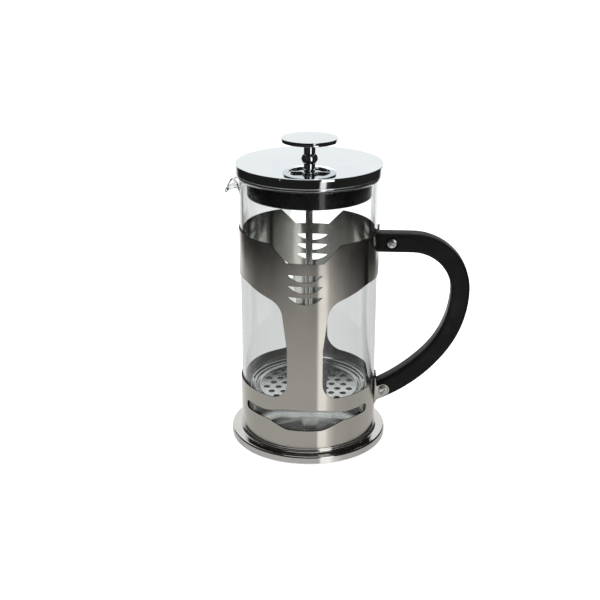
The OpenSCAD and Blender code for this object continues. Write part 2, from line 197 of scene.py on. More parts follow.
@dataclass
class Surface:
    """Part of a mesh: points and UVs in millimetres, faces as index rows, and outward normals where known."""

    points: Array
    uv: Array
    faces: list[Array]
    normals: Optional[Array] = None


def grid(points: Array, uv: Optional[Array] = None) -> Surface:
    """Makes a surface of a grid of points, with a quad between each four neighbours.

    Args:
        points: (rows, columns, 3) points.
        uv: (rows, columns, 2); left out, U is the mean length along the columns and V along the rows.

    Returns:
        The surface.
    """
    rows, columns = points.shape[:2]
    if uv is None:
        across = np.linalg.norm(np.diff(points, axis=1), axis=2).max(axis=0)
        along = np.linalg.norm(np.diff(points, axis=0), axis=2).mean(axis=1)
        u = np.concatenate([[0.0], np.cumsum(across)])
        v = np.concatenate([[0.0], np.cumsum(along)])
        uv = np.stack(np.broadcast_arrays(u[None, :], v[:, None]), axis=-1)
    index = np.arange(rows * columns).reshape(rows, columns)
    quads = np.stack([index[:-1, :-1], index[:-1, 1:], index[1:, 1:], index[1:, :-1]], axis=-1)
    return Surface(points.reshape(-1, 3), uv.reshape(-1, 2), [quads.reshape(-1, 4)])


def turned(
    profile: Array,
    columns: int = 128,
    closed: bool = False,
    shape: Optional[Callable[[Array, Array, Array], tuple[Array, Array]]] = None,
) -> Surface:
    """Turns a profile round Z: (r cos a, r sin a, z) for each profile point and each angle a.

    Args:
        profile: (n, 2) radii and heights; it starts and ends on the axis, or is closed.
        columns: number of steps round.
        closed: whether the last point joins the first, as in a ring.
        shape: changes arrays of radius and height by the angle, for hexagons, threads and ribs.

    Returns:
        The closed surface.
    """
    if closed:
        profile = np.concatenate([profile, profile[:1]])
    angle = np.linspace(0, TURN, columns + 1)[None, :]
    radius = np.repeat(profile[:, :1], columns + 1, axis=1)
    height = np.repeat(profile[:, 1:], columns + 1, axis=1)
    if shape is not None:
        radius, height = shape(radius, height, angle)
    points = np.stack([radius * np.cos(angle), radius * np.sin(angle), height], axis=-1)
    return grid(points)


def set_along_y(surface: Surface, centre: Sequence[float], outward: float) -> Surface:
    """Lays a turned surface along Y: (x, y, z) goes to centre + (x, outward z, y).

    Args:
        surface: the surface, built along Z.
        centre: where its origin goes.
        outward: +1 or -1, the way that its Z points along Y.

    Returns:
        The same surface, moved.
    """
    x, y, z = surface.points.T
    surface.points = np.stack([x, outward * z, y], axis=1) + np.array(centre)
    return surface


def tube(path: Array, normal: Array, radius: float, sides: int = 8) -> Surface:
    """Sweeps a circle along a closed path: path + radius (cos a N + sin a B), B being the tangent cross N.

    Args:
        path: (n, 3) points, the last one equal to the first.
        normal: (n, 3) unit vectors across the path.
        radius: radius of the tube.
        sides: number of sides.

    Returns:
        The closed surface.
    """
    tangent = np.gradient(path, axis=0)
    tangent[0] = tangent[-1] = tangent[0] + tangent[-1]
    tangent /= np.linalg.norm(tangent, axis=1, keepdims=True)
    side = np.cross(tangent, normal)
    side /= np.linalg.norm(side, axis=1, keepdims=True)
    angle = np.linspace(0, TURN, sides + 1)[None, :, None]
    return grid(path[:, None] + radius * (np.cos(angle) * normal[:, None] + np.sin(angle) * side[:, None]))


@dataclass
class Punched:
    """A sheet with holes, cut flat and then placed in space by a formula.

    Each face of the sheet is a triangulation of the outline, and the cut edge is three strips: a small bevel
    on each face and the plain wall between them.
    """

    outline: Array
    holes: list[Array]
    lattice: Array
    thickness: float
    place: Callable[[Array, Array], tuple[Array, Array]]
    bevel: float = 0.1
    step: Callable[[Array], Array] = lambda middle: np.full(len(middle), 1.5)
    shy: float = 0.45

    def loops(self) -> list[Array]:
        """Divides the outlines and turns them the right way.

        Returns:
            The outer one anticlockwise, then each hole clockwise.
        """
        found = []
        for i, loop in enumerate([self.outline, *self.holes]):
            loop = divided(loop, self.step)
            if (signed_area(loop) > 0) != (i == 0):
                loop = loop[::-1]
            found.append(loop)
        return found

    def inset(self, loop: Array) -> Array:
        """Moves each point into the material by the bevel, along the mean of its two sides' left normals.

        Args:
            loop: the outline.

        Returns:
            The inset outline.
        """
        ahead, behind = np.roll(loop, -1, axis=0) - loop, loop - np.roll(loop, 1, axis=0)
        ahead = ahead / np.linalg.norm(ahead, axis=1, keepdims=True)
        behind = behind / np.linalg.norm(behind, axis=1, keepdims=True)
        left = np.stack([-(ahead + behind)[:, 1], (ahead + behind)[:, 0]], axis=1)
        length = np.maximum(np.linalg.norm(left, axis=1, keepdims=True), 0.6)
        return loop + left / length * self.bevel

    def surface(self) -> Surface:
        """Builds the sheet.

        The triangles come from a constrained Delaunay triangulation of the inset outlines and the
        lattice; those whose centre is in a hole are dropped.

        Returns:
            The closed sheet.
        """
        loops = self.loops()
        rims = [self.inset(loop) for loop in loops]
        edge = np.concatenate(rims)
        free = self.lattice[inside(self.lattice, rims)]
        near = np.concatenate([
            np.min(np.linalg.norm(block[:, None] - edge[None], axis=2), axis=1)
            for block in np.array_split(free, max(1, len(free) // 1000))
        ])
        flat = np.concatenate([edge, free[near > self.shy]])
        starts = np.cumsum([0] + [len(r) for r in rims])
        ahead = np.concatenate([np.roll(np.arange(a, b), -1) for a, b in zip(starts[:-1], starts[1:])])
        sides = np.stack([np.arange(len(edge)), ahead], axis=1)
        made = delaunay_2d_cdt([Vector(p) for p in flat.tolist()], sides.tolist(), [], 0, 1e-7)
        corner = np.array([tuple(p) for p in made[0]])
        triangles = np.array([list(f) for f in made[2]], dtype=int)
        triangles = triangles[inside(corner[triangles].mean(axis=1), rims)]
        home = np.empty(len(corner), dtype=int)
        home[:] = [source[0] if source else 0 for source in made[3]]
        triangles = home[triangles]
        return self.layered(flat, triangles, np.concatenate(loops), ahead)

    def layered(self, flat: Array, triangles: Array, wall: Array, ahead: Array) -> Surface:
        """Stacks the two faces and the walls between them.

        Args:
            flat: points of a face, the inset outlines first.
            triangles: its triangles.
            wall: the true outlines, one point for each inset point.
            ahead: index of each outline point's next neighbour.

        Returns:
            The closed surface with its normals; a wall's normals are left to the mesh.
        """
        count, edge = len(flat), len(wall)
        plane = np.concatenate([flat, wall, wall, flat])
        depths = [0.0, self.bevel, self.thickness - self.bevel, self.thickness]
        depth = np.repeat(depths, [count, edge, edge, count])
        points, normals = self.place(plane, depth)
        outer = np.arange(edge)
        rows = [outer, count + outer, count + edge + outer, count + 2 * edge + outer]
        quads = [np.stack([a, b, b[ahead], a[ahead]], axis=1) for a, b in zip(rows[:-1], rows[1:])]
        faces = [triangles, triangles[:, ::-1] + count + 2 * edge, *quads]
        normals[count:count + 2 * edge] = 0.0
        normals[count + 2 * edge:] *= -1.0
        return Surface(points, plane, faces, normals)


# ---------------------------------------------------------------- meshes and pieces


def write_mesh(name: str, surfaces: Sequence[Surface], crease: float = 32.0) -> bpy.types.Mesh:
    """Writes surfaces into one mesh, in metres.

    Grids have their seams and poles merged and their normals turned outwards. A sheet that brings normals is
    whole already, and keeps them on its two faces; its cut edges are marked with the colour "cut".

    Args:
        name: name of the mesh.
        surfaces: the surfaces, each one closed.
        crease: angle in degrees from which an edge is shown sharp.

    Returns:
        The mesh.
    """
    starts = np.cumsum([0] + [len(s.points) for s in surfaces])
    points = np.concatenate([s.points for s in surfaces]) * MM
    uv = np.concatenate([s.uv for s in surfaces]) * MM
    groups = [faces + start for s, start in zip(surfaces, starts) for faces in s.faces]
    corners = np.concatenate([g.reshape(-1) for g in groups]).astype(np.int32)
    sizes = np.concatenate([np.full(len(g), g.shape[1], dtype=np.int32) for g in groups])
    mesh = bpy.data.meshes.new(name)
    mesh.vertices.add(len(points))
    mesh.vertices.foreach_set("co", points.astype(np.float32).reshape(-1))
    mesh.loops.add(len(corners))
    mesh.loops.foreach_set("vertex_index", corners)
    mesh.polygons.add(len(sizes))
    mesh.polygons.foreach_set("loop_start", (np.cumsum(sizes) - sizes).astype(np.int32))
    mesh.update(calc_edges=True)
    layer = mesh.uv_layers.new(name="UVMap")
    layer.data.foreach_set("uv", uv[corners].astype(np.float32).reshape(-1))
    if surfaces[0].normals is None:
        work = bmesh.new()
        work.from_mesh(mesh)
        bmesh.ops.remove_doubles(work, verts=work.verts, dist=2e-7)
        bmesh.ops.dissolve_degenerate(work, edges=work.edges, dist=1e-8)
        bmesh.ops.recalc_face_normals(work, faces=work.faces)
        work.to_mesh(mesh)
        work.free()
    mesh.shade_smooth()
    mesh.set_sharp_from_angle(angle=math.radians(crease))
    if surfaces[0].normals is not None:
        normals = np.concatenate([
            s.normals if s.normals is not None else np.zeros((len(s.points), 3)) for s in surfaces
        ])
        in_wall = np.repeat(sizes == 4, sizes)
        chosen = np.where(in_wall[:, None], 0.0, normals[corners])
        mesh.normals_split_custom_set(chosen.tolist())
        # The "cut" colour marks the cut walls, on which the metals paint shade.
        cut = mesh.color_attributes.new("cut", "FLOAT_COLOR", "CORNER")
        cut.data.foreach_set("color", np.repeat(in_wall.astype(np.float32), 4))
    mesh.validate()
    return mesh


def carved(mesh: bpy.types.Mesh, cutters: Sequence[Surface], crease: float = 32.0) -> bpy.types.Mesh:
    """Cuts closed surfaces out of a mesh.

    Args:
        mesh: the mesh to cut.
        cutters: what is cut away, one after another.
        crease: angle in degrees from which an edge is shown sharp.

    Returns:
        A new mesh.
    """
    scene = bpy.context.scene.collection
    blank = bpy.data.objects.new("blank", mesh)
    scene.objects.link(blank)
    tools = []
    for i, cutter in enumerate(cutters):
        tool = bpy.data.objects.new(f"cutter_{i}", write_mesh(f"cutter_{i}", [cutter]))
        scene.objects.link(tool)
        cut = blank.modifiers.new(f"cut_{i}", "BOOLEAN")
        cut.operation = "DIFFERENCE"
        cut.solver = "EXACT"
        cut.object = tool
        tools.append(tool)
    bpy.context.view_layer.update()
    result = bpy.data.meshes.new_from_object(blank.evaluated_get(bpy.context.evaluated_depsgraph_get()))
    for spent in [blank, *tools]:
        bpy.data.objects.remove(spent)
    result.shade_smooth()
    result.set_sharp_from_angle(angle=math.radians(crease))
    return result


def add_piece(
    name: str,
    mesh: bpy.types.Mesh,
    finish: bpy.types.Material,
    body: Body,
    nodes: Sequence[str],
) -> bpy.types.Object:
    """Puts a mesh in the scene as a finished piece.

    Args:
        name: name of the piece.
        mesh: its mesh.
        finish: its material.
        body: the body that it rides on.
        nodes: the CAD nodes that it stands for.

    Returns:
        The object.
    """
    piece = bpy.data.objects.new(name, mesh)
    bpy.context.scene.collection.objects.link(piece)
    mesh.materials.clear()
    mesh.materials.append(finish)
    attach(piece, body.value)
    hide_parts(*nodes)
    log.info("%s: %d faces, rides on %s", name, len(mesh.polygons), body.value)
    return piece


# ---------------------------------------------------------------- finishes


class Coords(Enum):
    """What a pattern follows: the object's own space or the surface's UV map."""

    OBJECT = "Object"
    UV = "UV"


class NodeBoard:
    """A short way to lay shader nodes on a new material."""

    def __init__(self, name: str) -> None:
        """Starts an empty material with an output node.

        Args:
            name: name of the material.
        """
        self.material = bpy.data.materials.new(name)
        self.material.use_nodes = True
        self.tree = self.material.node_tree
        self.tree.nodes.clear()
        self.output = self.tree.nodes.new("ShaderNodeOutputMaterial")

    def node(self, kind: str, **values: object) -> bpy.types.Node:
        """Adds a node.

        Args:
            kind: type of node, without the leading ShaderNode.
            values: settings of the node, or input sockets written with underscores for spaces.

        Returns:
            The node.
        """
        node = self.tree.nodes.new("ShaderNode" + kind)
        for key, value in values.items():
            if hasattr(node, key):
                setattr(node, key, value)
            else:
                node.inputs[key.replace("_", " ")].default_value = value
        return node

    def link(self, source: bpy.types.NodeSocket, target: bpy.types.NodeSocket) -> None:
        """Joins an output socket to an input socket."""
        self.tree.links.new(source, target)

    def coords(self, kind: Coords, stretch: Sequence[float]) -> bpy.types.NodeSocket:
        """Gives coordinates for a pattern.

        Args:
            kind: what the pattern follows.
            stretch: how many times finer the pattern is along each axis.

        Returns:
            The vector socket.
        """
        source = self.node("TexCoord")
        mapping = self.node("Mapping")
        mapping.inputs["Scale"].default_value = stretch
        self.link(source.outputs[kind.value], mapping.inputs["Vector"])
        return mapping.outputs["Vector"]

    def noise(self, vector: bpy.types.NodeSocket, scale: float, detail: float = 3.0) -> bpy.types.NodeSocket:
        """Adds a noise texture.

        Args:
            vector: coordinates that it follows.
            scale: how fine it is.
            detail: number of octaves.

        Returns:
            Its factor socket.
        """
        node = self.node("TexNoise", Scale=scale, Detail=detail, Roughness=0.55)
        self.link(vector, node.inputs["Vector"])
        return node.outputs["Fac"]

    def ranged(
        self, value: bpy.types.NodeSocket, low: float, high: float, start: float = 0.3, end: float = 0.7
    ) -> bpy.types.NodeSocket:
        """Maps a value from start..end to low..high, held at both ends.

        Args:
            value: the value to map.
            low: result at start.
            high: result at end.
            start: lowest value.
            end: highest value.

        Returns:
            The mapped value.
        """
        node = self.node("MapRange")
        node.inputs["From Min"].default_value = start
        node.inputs["From Max"].default_value = end
        node.inputs["To Min"].default_value = low
        node.inputs["To Max"].default_value = high
        self.link(value, node.inputs["Value"])
        return node.outputs["Result"]

    def tints(
        self, factor: bpy.types.NodeSocket, first: Sequence[float], second: Sequence[float]
    ) -> bpy.types.NodeSocket:
        """Blends two colours.

        Args:
            factor: share of the second colour.
            first: colour at 0.
            second: colour at 1.

        Returns:
            The colour socket.
        """
        ramp = self.node("ValToRGB")
        ramp.color_ramp.elements[0].color = (*first, 1.0)
        ramp.color_ramp.elements[1].color = (*second, 1.0)
        self.link(factor, ramp.inputs["Fac"])
        return ramp.outputs["Color"]

    def bump(
        self,
        height: bpy.types.NodeSocket,
        strength: float,
        distance: float,
        before: Optional[bpy.types.NodeSocket] = None,
    ) -> bpy.types.NodeSocket:
        """Adds a bump.

        Args:
            height: pattern of the height.
            strength: share of the bump that shows.
            distance: full height in metres.
            before: an earlier normal that it adds to.

        Returns:
            The normal socket.
        """
        node = self.node("Bump", Strength=strength, Distance=distance)
        self.link(height, node.inputs["Height"])
        if before is not None:
            self.link(before, node.inputs["Normal"])
        return node.outputs["Normal"]


@dataclass(frozen=True)
class Metal:
    """Steel, chrome or brass: two close tints in soft clouds, uneven roughness, and a fine grain.

    The grain is noise stretched across the brushing, so it reads as short parallel lines. The cut walls of a
    sheet are painted darker: painted shade along its cut edges.
    """

    name: str
    tint: tuple[float, float, float]
    worn: tuple[float, float, float]
    roughness: tuple[float, float]
    grain: float = 0.0
    grain_scale: tuple[float, float, float] = (60.0, 6000.0, 1.0)
    ripple: float = 0.0
    anisotropy: float = 0.0
    coords: Coords = Coords.UV

    def material(self) -> bpy.types.Material:
        """Lays the nodes.

        Returns:
            The material.
        """
        board = NodeBoard(self.name)
        shader = board.node("BsdfPrincipled")
        shader.inputs["Metallic"].default_value = 1.0
        cloud = board.noise(board.coords(Coords.OBJECT, (1.0, 1.0, 1.0)), 38.0, 4.0)
        clean = board.tints(board.ranged(cloud, 0.0, 1.0), self.tint, self.worn)
        # Painted shade: corners marked "cut" take a fifth of the tint, so the cut edges read dark as in
        # shade.
        cut = board.node("Mix", data_type="RGBA")
        board.link(board.node("Attribute", attribute_name="cut").outputs["Fac"], cut.inputs["Factor"])
        board.link(clean, cut.inputs[6])
        cut.inputs[7].default_value = (*[0.22 * c for c in self.tint], 1.0)
        board.link(cut.outputs[2], shader.inputs["Base Color"])
        fine = board.noise(board.coords(self.coords, self.grain_scale), 1.0, 2.0)
        smudge = board.noise(board.coords(Coords.OBJECT, (1.0, 1.0, 0.6)), 90.0, 5.0)
        mixed = board.node("Math", operation="MULTIPLY_ADD")
        board.link(fine, mixed.inputs[0])
        mixed.inputs[1].default_value = 0.5 if self.grain > 0 else 0.15
        board.link(smudge, mixed.inputs[2])
        uneven = board.ranged(mixed.outputs[0], *self.roughness, start=0.45, end=0.95)
        board.link(uneven, shader.inputs["Roughness"])
        normal = None
        if self.ripple > 0:
            wave = board.noise(board.coords(Coords.OBJECT, (1.0, 1.0, 1.0)), 22.0, 1.0)
            normal = board.bump(wave, 1.0, self.ripple)
        if self.grain > 0:
            normal = board.bump(fine, 1.0, self.grain, normal)
        if normal is not None:
            board.link(normal, shader.inputs["Normal"])
        if self.anisotropy > 0:
            shader.inputs["Anisotropic"].default_value = self.anisotropy
            shader.inputs["Anisotropic Rotation"].default_value = 0.25
            tangent = board.node("Tangent", direction_type="UV_MAP", uv_map="UVMap")
            board.link(tangent.outputs["Tangent"], shader.inputs["Tangent"])
        board.link(shader.outputs["BSDF"], board.output.inputs["Surface"])
        return board.material


@dataclass(frozen=True)
class Plastic:
    """Moulded plastic or rubber: near-black tints, a pebbled skin, faint paler scuffs and uneven roughness.
    """

    name: str
    tint: tuple[float, float, float]
    scuffed: tuple[float, float, float]
    roughness: tuple[float, float]
    pebble: float
    pebble_scale: float
    coat: float = 0.0
    specular: float = 0.5

    def material(self) -> bpy.types.Material:
        """Lays the nodes.

        Returns:
            The material.
        """
        board = NodeBoard(self.name)
        shader = board.node("BsdfPrincipled")
        place = board.coords(Coords.OBJECT, (1.0, 1.0, 1.0))
        scuff = board.ranged(board.noise(place, 55.0, 6.0), 0.0, 1.0, 0.5, 0.78)
        board.link(board.tints(scuff, self.tint, self.scuffed), shader.inputs["Base Color"])
        board.link(board.ranged(board.noise(place, 130.0, 4.0), *self.roughness), shader.inputs["Roughness"])
        cells = board.node("TexVoronoi", feature="SMOOTH_F1", Scale=self.pebble_scale)
        board.link(place, cells.inputs["Vector"])
        normal = board.bump(cells.outputs["Distance"], 1.0, self.pebble)
        normal = board.bump(board.noise(place, 30.0, 2.0), 1.0, 4e-5, normal)
        board.link(normal, shader.inputs["Normal"])
        shader.inputs["Specular IOR Level"].default_value = self.specular
        shader.inputs["Coat Weight"].default_value = self.coat
        shader.inputs["Coat Roughness"].default_value = 0.08
        board.link(shader.outputs["BSDF"], board.output.inputs["Surface"])
        return board.material


@dataclass(frozen=True)
class Glass:
    """Clear drawn glass: a breath of tint, slow waves in its wall, and faint wiping marks in its gloss.

    Light passes straight through it on its way to what is behind, so it throws no dark shadow.
    """

    name: str
    tint: tuple[float, float, float]
    ior: float = 1.47
    wave: float = 2.5e-5

    def material(self) -> bpy.types.Material:
        """Lays the nodes.

        Returns:
            The material.
        """
        board = NodeBoard(self.name)
        shader = board.node("BsdfPrincipled")
        shader.inputs["Transmission Weight"].default_value = 1.0
        shader.inputs["IOR"].default_value = self.ior
        place = board.coords(Coords.OBJECT, (1.0, 1.0, 0.35))
        slow = board.noise(place, 18.0, 1.0)
        paler = tuple(min(1.0, c + 0.012) for c in self.tint)
        board.link(board.tints(board.ranged(slow, 0.0, 1.0), self.tint, paler), shader.inputs["Base Color"])
        wiped = board.noise(board.coords(Coords.UV, (40.0, 260.0, 1.0)), 1.0, 5.0)
        board.link(board.ranged(wiped, 0.0, 0.008, 0.45, 0.8), shader.inputs["Roughness"])
        board.link(board.bump(slow, 1.0, self.wave), shader.inputs["Normal"])
        clear = board.node("BsdfTransparent")
        clear.inputs["Color"].default_value = (*self.tint, 1.0)
        path = board.node("LightPath")
        choice = board.node("MixShader")
        board.link(path.outputs["Is Shadow Ray"], choice.inputs["Fac"])
        board.link(shader.outputs["BSDF"], choice.inputs[1])
        board.link(clear.outputs["BSDF"], choice.inputs[2])
        board.link(choice.outputs["Shader"], board.output.inputs["Surface"])
        return board.material


@dataclass(frozen=True)
class WovenWire:
    """Fine woven wire: two crossed waves that pass over and under each other, with painted shade in the gaps.
    """

    name: str
    pitch: float = 0.00042

    def material(self) -> bpy.types.Material:
        """Lays the nodes.

        Returns:
            The material.
        """
        board = NodeBoard(self.name)
        shader = board.node("BsdfPrincipled")
        shader.inputs["Metallic"].default_value = 1.0
        shader.inputs["Roughness"].default_value = 0.34
        waves = []
        for direction in ("X", "Y"):
            wave = board.node("TexWave", bands_direction=direction, Scale=1.0)
            scale = 1.0 / self.pitch / 3.2
            board.link(board.coords(Coords.OBJECT, (scale, scale, scale)), wave.inputs["Vector"])
            waves.append(wave.outputs["Fac"])
        weave = board.node("Math", operation="MAXIMUM")
        board.link(waves[0], weave.inputs[0])
        board.link(waves[1], weave.inputs[1])
        # Painted shade: the gaps between the wires are tinted near black.
        fill = board.ranged(weave.outputs[0], 0.0, 1.0, 0.45, 0.8)
        board.link(board.tints(fill, (0.02, 0.02, 0.02), (0.34, 0.335, 0.33)), shader.inputs["Base Color"])
        board.link(board.bump(weave.outputs[0], 1.0, 1.2e-4), shader.inputs["Normal"])
        board.link(shader.outputs["BSDF"], board.output.inputs["Surface"])
        return board.material


SATIN_STEEL = Metal(
    "satin_steel", (0.61, 0.58, 0.52), (0.58, 0.55, 0.50), (0.11, 0.19),
    grain=1.0e-6, anisotropy=0.75, ripple=1.0e-6,
)
BASE_STEEL = Metal(
    "base_steel", (0.74, 0.72, 0.69), (0.68, 0.66, 0.63), (0.07, 0.16), grain=6.0e-7,
    grain_scale=(40.0, 9000.0, 1.0),
)
CHROME = Metal(
    "lid_chrome", (0.90, 0.925, 0.935), (0.86, 0.885, 0.895), (0.02, 0.07), ripple=1.2e-6,
)
FASTENER_STEEL = Metal(
    "fastener_steel", (0.72, 0.71, 0.69), (0.52, 0.51, 0.50), (0.14, 0.34), grain=1.5e-6,
    grain_scale=(900.0, 9000.0, 1.0),
)
FILTER_STEEL = Metal(
    "filter_steel", (0.74, 0.74, 0.73), (0.62, 0.62, 0.61), (0.04, 0.09), grain=2.2e-6,
    grain_scale=(1500.0, 1500.0, 1500.0), ripple=2.0e-6, coords=Coords.OBJECT,
)
ROD_STEEL = Metal(
    "rod_steel", (0.62, 0.61, 0.60), (0.50, 0.49, 0.48), (0.10, 0.24), grain=1.0e-6,
    grain_scale=(60.0, 5000.0, 1.0),
)
BRASS = Metal(
    "insert_brass", (0.72, 0.50, 0.20), (0.55, 0.36, 0.13), (0.18, 0.34), grain=1.0e-6,
    grain_scale=(400.0, 4000.0, 1.0),
)
HANDLE_PLASTIC = Plastic(
    "handle_plastic", (0.004, 0.004, 0.0044), (0.008, 0.008, 0.0084), (0.36, 0.50), 1.2e-5, 2600.0,
    specular=0.14,
)
LID_PLASTIC = Plastic(
    "black_plastic", (0.0045, 0.0045, 0.005), (0.008, 0.008, 0.0085), (0.20, 0.30), 3e-6, 4200.0, coat=0.08,
    specular=0.3,
)
PAD_RUBBER = Plastic(
    "pad_rubber", (0.018, 0.018, 0.019), (0.05, 0.05, 0.048), (0.62, 0.82), 3e-5, 1500.0,
)
BEAKER_GLASS = Glass("beaker_glass", (0.955, 0.972, 0.968))
MESH_WIRE = WovenWire("mesh_steel")


# ---------------------------------------------------------------- small shared shapes


def hex_nut(corner: float, height: float, bore: float) -> Surface:
    """Makes a hexagon nut along Z from 0 to height.

    The side's radius is flat / cos(a), a being the angle from the middle of the nearest flat, and a cone
    takes the six corners off at both ends.

    Args:
        corner: radius to a corner.
        height: height of the nut.
        bore: radius of its hole.

    Returns:
        The closed surface.
    """
    flat = corner * math.cos(math.pi / 6)
    face = flat * 0.97
    ease = min(0.3, height * 0.12)
    profile = np.array([
        [bore, ease], [bore + ease, 0.0], [face, 0.0], [corner, 0.0],
        [corner, height], [face, height], [bore + ease, height], [bore, height - ease],
    ])

    def shape(radius: Array, level: Array, angle: Array) -> tuple[Array, Array]:
        """Turns the outer rows into the hexagon and lowers its corners along the cone.

        Args:
            radius: radius of each grid point.
            level: height of each grid point.
            angle: angle of each column.

        Returns:
            The new radii and heights.
        """
        off = (angle + math.pi / 6) % (math.pi / 3) - math.pi / 6
        side = flat / np.cos(off)
        drop = (side - face) * math.tan(math.pi / 6)
        outer = radius > face + 1e-6
        level = np.where(outer, np.where(level > height / 2, height - drop, drop), level)
        return np.where(outer, side, radius), level

    return turned(profile, 96, True, shape)


def screw(head: float, rise: float, shank: float, length: float, slots: Sequence[float]) -> Surface:
    """Makes a pan-head screw along Z: the head's underside is at 0 and the shank points down.

    The head's top is a parabola of the radius, less a recess wherever a point lies within a slot's half width
    and half length. The thread adds a triangle wave of height / pitch less angle / turn to the radius.

    Args:
        head: radius of the head.
        rise: height of the head.
        shank: radius of the shank.
        length: length under the head.
        slots: direction of each slot in radians.

    Returns:
        The closed surface.
    """
    pitch, tooth, deep = 0.7, 0.13, rise * 0.55
    across = np.linspace(0.0, head * 0.93, 30)
    top = np.stack([across, rise * (1.0 - 0.30 * (across / head) ** 2)], axis=1)
    edge = rounded(
        [(*top[-1], 0.0), (head, rise * 0.52, 0.35), (head, 0.0, 0.15), (shank + 0.3, 0.0, 0.0),
         (shank, -0.3, 0.0)],
        closed=False,
    )
    levels = np.arange(-0.5, -length + 0.5, -pitch / 8)
    thread = np.stack([np.full_like(levels, shank - tooth), levels], axis=1)
    tip = np.array([[shank - tooth, -length + 0.4], [shank - 0.5, -length], [0.0, -length]])

    def shape(radius: Array, level: Array, angle: Array) -> tuple[Array, Array]:
        """Sinks the slots into the head and cuts the thread.

        Args:
            radius: radius of each grid point.
            level: height of each grid point.
            angle: angle of each column.

        Returns:
            The new radii and heights.
        """
        x, y = radius * np.cos(angle), radius * np.sin(angle)
        sunk = np.zeros_like(x)
        for turn in slots:
            along = np.abs(x * math.cos(turn) + y * math.sin(turn))
            aside = np.abs(-x * math.sin(turn) + y * math.cos(turn))
            sunk = np.maximum(sunk, smooth((0.5 - aside) / 0.14) * smooth((head * 0.62 - along) / 0.2))
        wave = np.abs((level / pitch - angle / TURN) % 1.0 - 0.5) * 2.0
        threaded = (level < -0.45) & (level > -length + 0.45)
        level = np.where((level > 0.6 * rise) & (radius < head * 0.8), level - deep * sunk, level)
        return np.where(threaded, radius + 2 * tooth * wave, radius), level

    return turned(np.concatenate([top, edge[1:], thread, tip]), 96, False, shape)


def flat_disc_points(inner: float, outer: float, gap: float) -> Array:
    """Lays points on rings, about 1.6 gaps apart along each, every other ring turned by half a step.

    Args:
        inner: radius of the first ring.
        outer: radius before which the rings stop.
        gap: distance between rings.

    Returns:
        Array of (n, 2) points.
    """
    rings = []
    for i, radius in enumerate(np.arange(inner, outer, gap)):
        count = max(8, int(TURN * radius / gap / 1.6))
        angle = (np.arange(count) + 0.5 * (i % 2)) / count * TURN
        rings.append(np.stack([radius * np.cos(angle), radius * np.sin(angle)], axis=1))
    return np.concatenate(rings)


def circle(x: float, y: float, radius: float, sides: int) -> Array:
    """Returns a regular outline of that many sides about (x, y)."""
    return arc(x, y, radius, 0, 360, sides)[:-1]


# ---------------------------------------------------------------- sub-assemblies


@dataclass
class Base:
    """The pressed steel foot and the rubber pad that fills it."""

    plate: float = 0.8
    flange_height: float = 6.2
    boss_radius: float = 50.4
    pad: float = 2.2
    pad_wall: float = 2.4
    groove_pitch: float = 5.0
    groove_depth: float = 0.45

    def plate_surface(self) -> Surface:
        """Turns the foot: a flat boss, a rolled step and a flange whose edge turns down, one wall thick.

        Returns:
            The closed surface.
        """
        low, high = span("base_plate")
        r, top, foot, t = high[0], high[2], low[2], self.plate
        boss, flange = self.boss_radius, self.flange_height
        return turned(rounded([
            (0.0, top, 0.0), (boss, top, 0.6), (boss, flange, 1.3), (r, flange, 1.5), (r, foot, 0.3),
            (r - t, foot, 0.3), (r - t, flange - t, 0.7), (boss - t, flange - t, 2.0),
            (boss - t, top - t, 0.3), (0.0, top - t, 0.0),
        ], closed=False), 256)

    def pad_surface(self) -> Surface:
        """Turns the pad; under it, height is groove depth times half of 1 - cos(turns of the radius).

        Returns:
            The closed surface.
        """
        r = span("base_pad")[1][0]
        high = span("base_plate")[1][2] - self.plate - 0.1
        rim = self.flange_height - self.plate - 1.0
        t, pad = self.pad_wall, self.pad
        inner = self.boss_radius - self.plate - 0.6
        top = rounded([
            (0.0, pad, 0.0), (inner - t, pad, 0.4), (inner - t, high, 0.3), (inner, high, 0.3),
            (inner, pad, 0.4), (r - t, pad, 0.4), (r - t, rim, 0.3), (r, rim, 0.3), (r, 0.0, 0.6),
            (r - 2.0, 0.0, 0.0),
        ], closed=False)
        under = np.linspace(r - 2.0, 0.0, 180)[1:]
        wave = 0.5 - 0.5 * np.cos((r - 2.0 - under) / self.groove_pitch * TURN)
        return turned(np.concatenate([top, np.stack([under, self.groove_depth * wave], axis=1)]), 160)

    def build(self) -> None:
        """Makes and dresses both pieces."""
        add_piece("foot_plate", write_mesh("foot_plate", [self.plate_surface()]), BASE_STEEL.material(),
                  Body.HOLDER, ["base_plate"])
        add_piece("foot_pad", write_mesh("foot_pad", [self.pad_surface()]), PAD_RUBBER.material(),
                  Body.HOLDER, ["base_pad"])


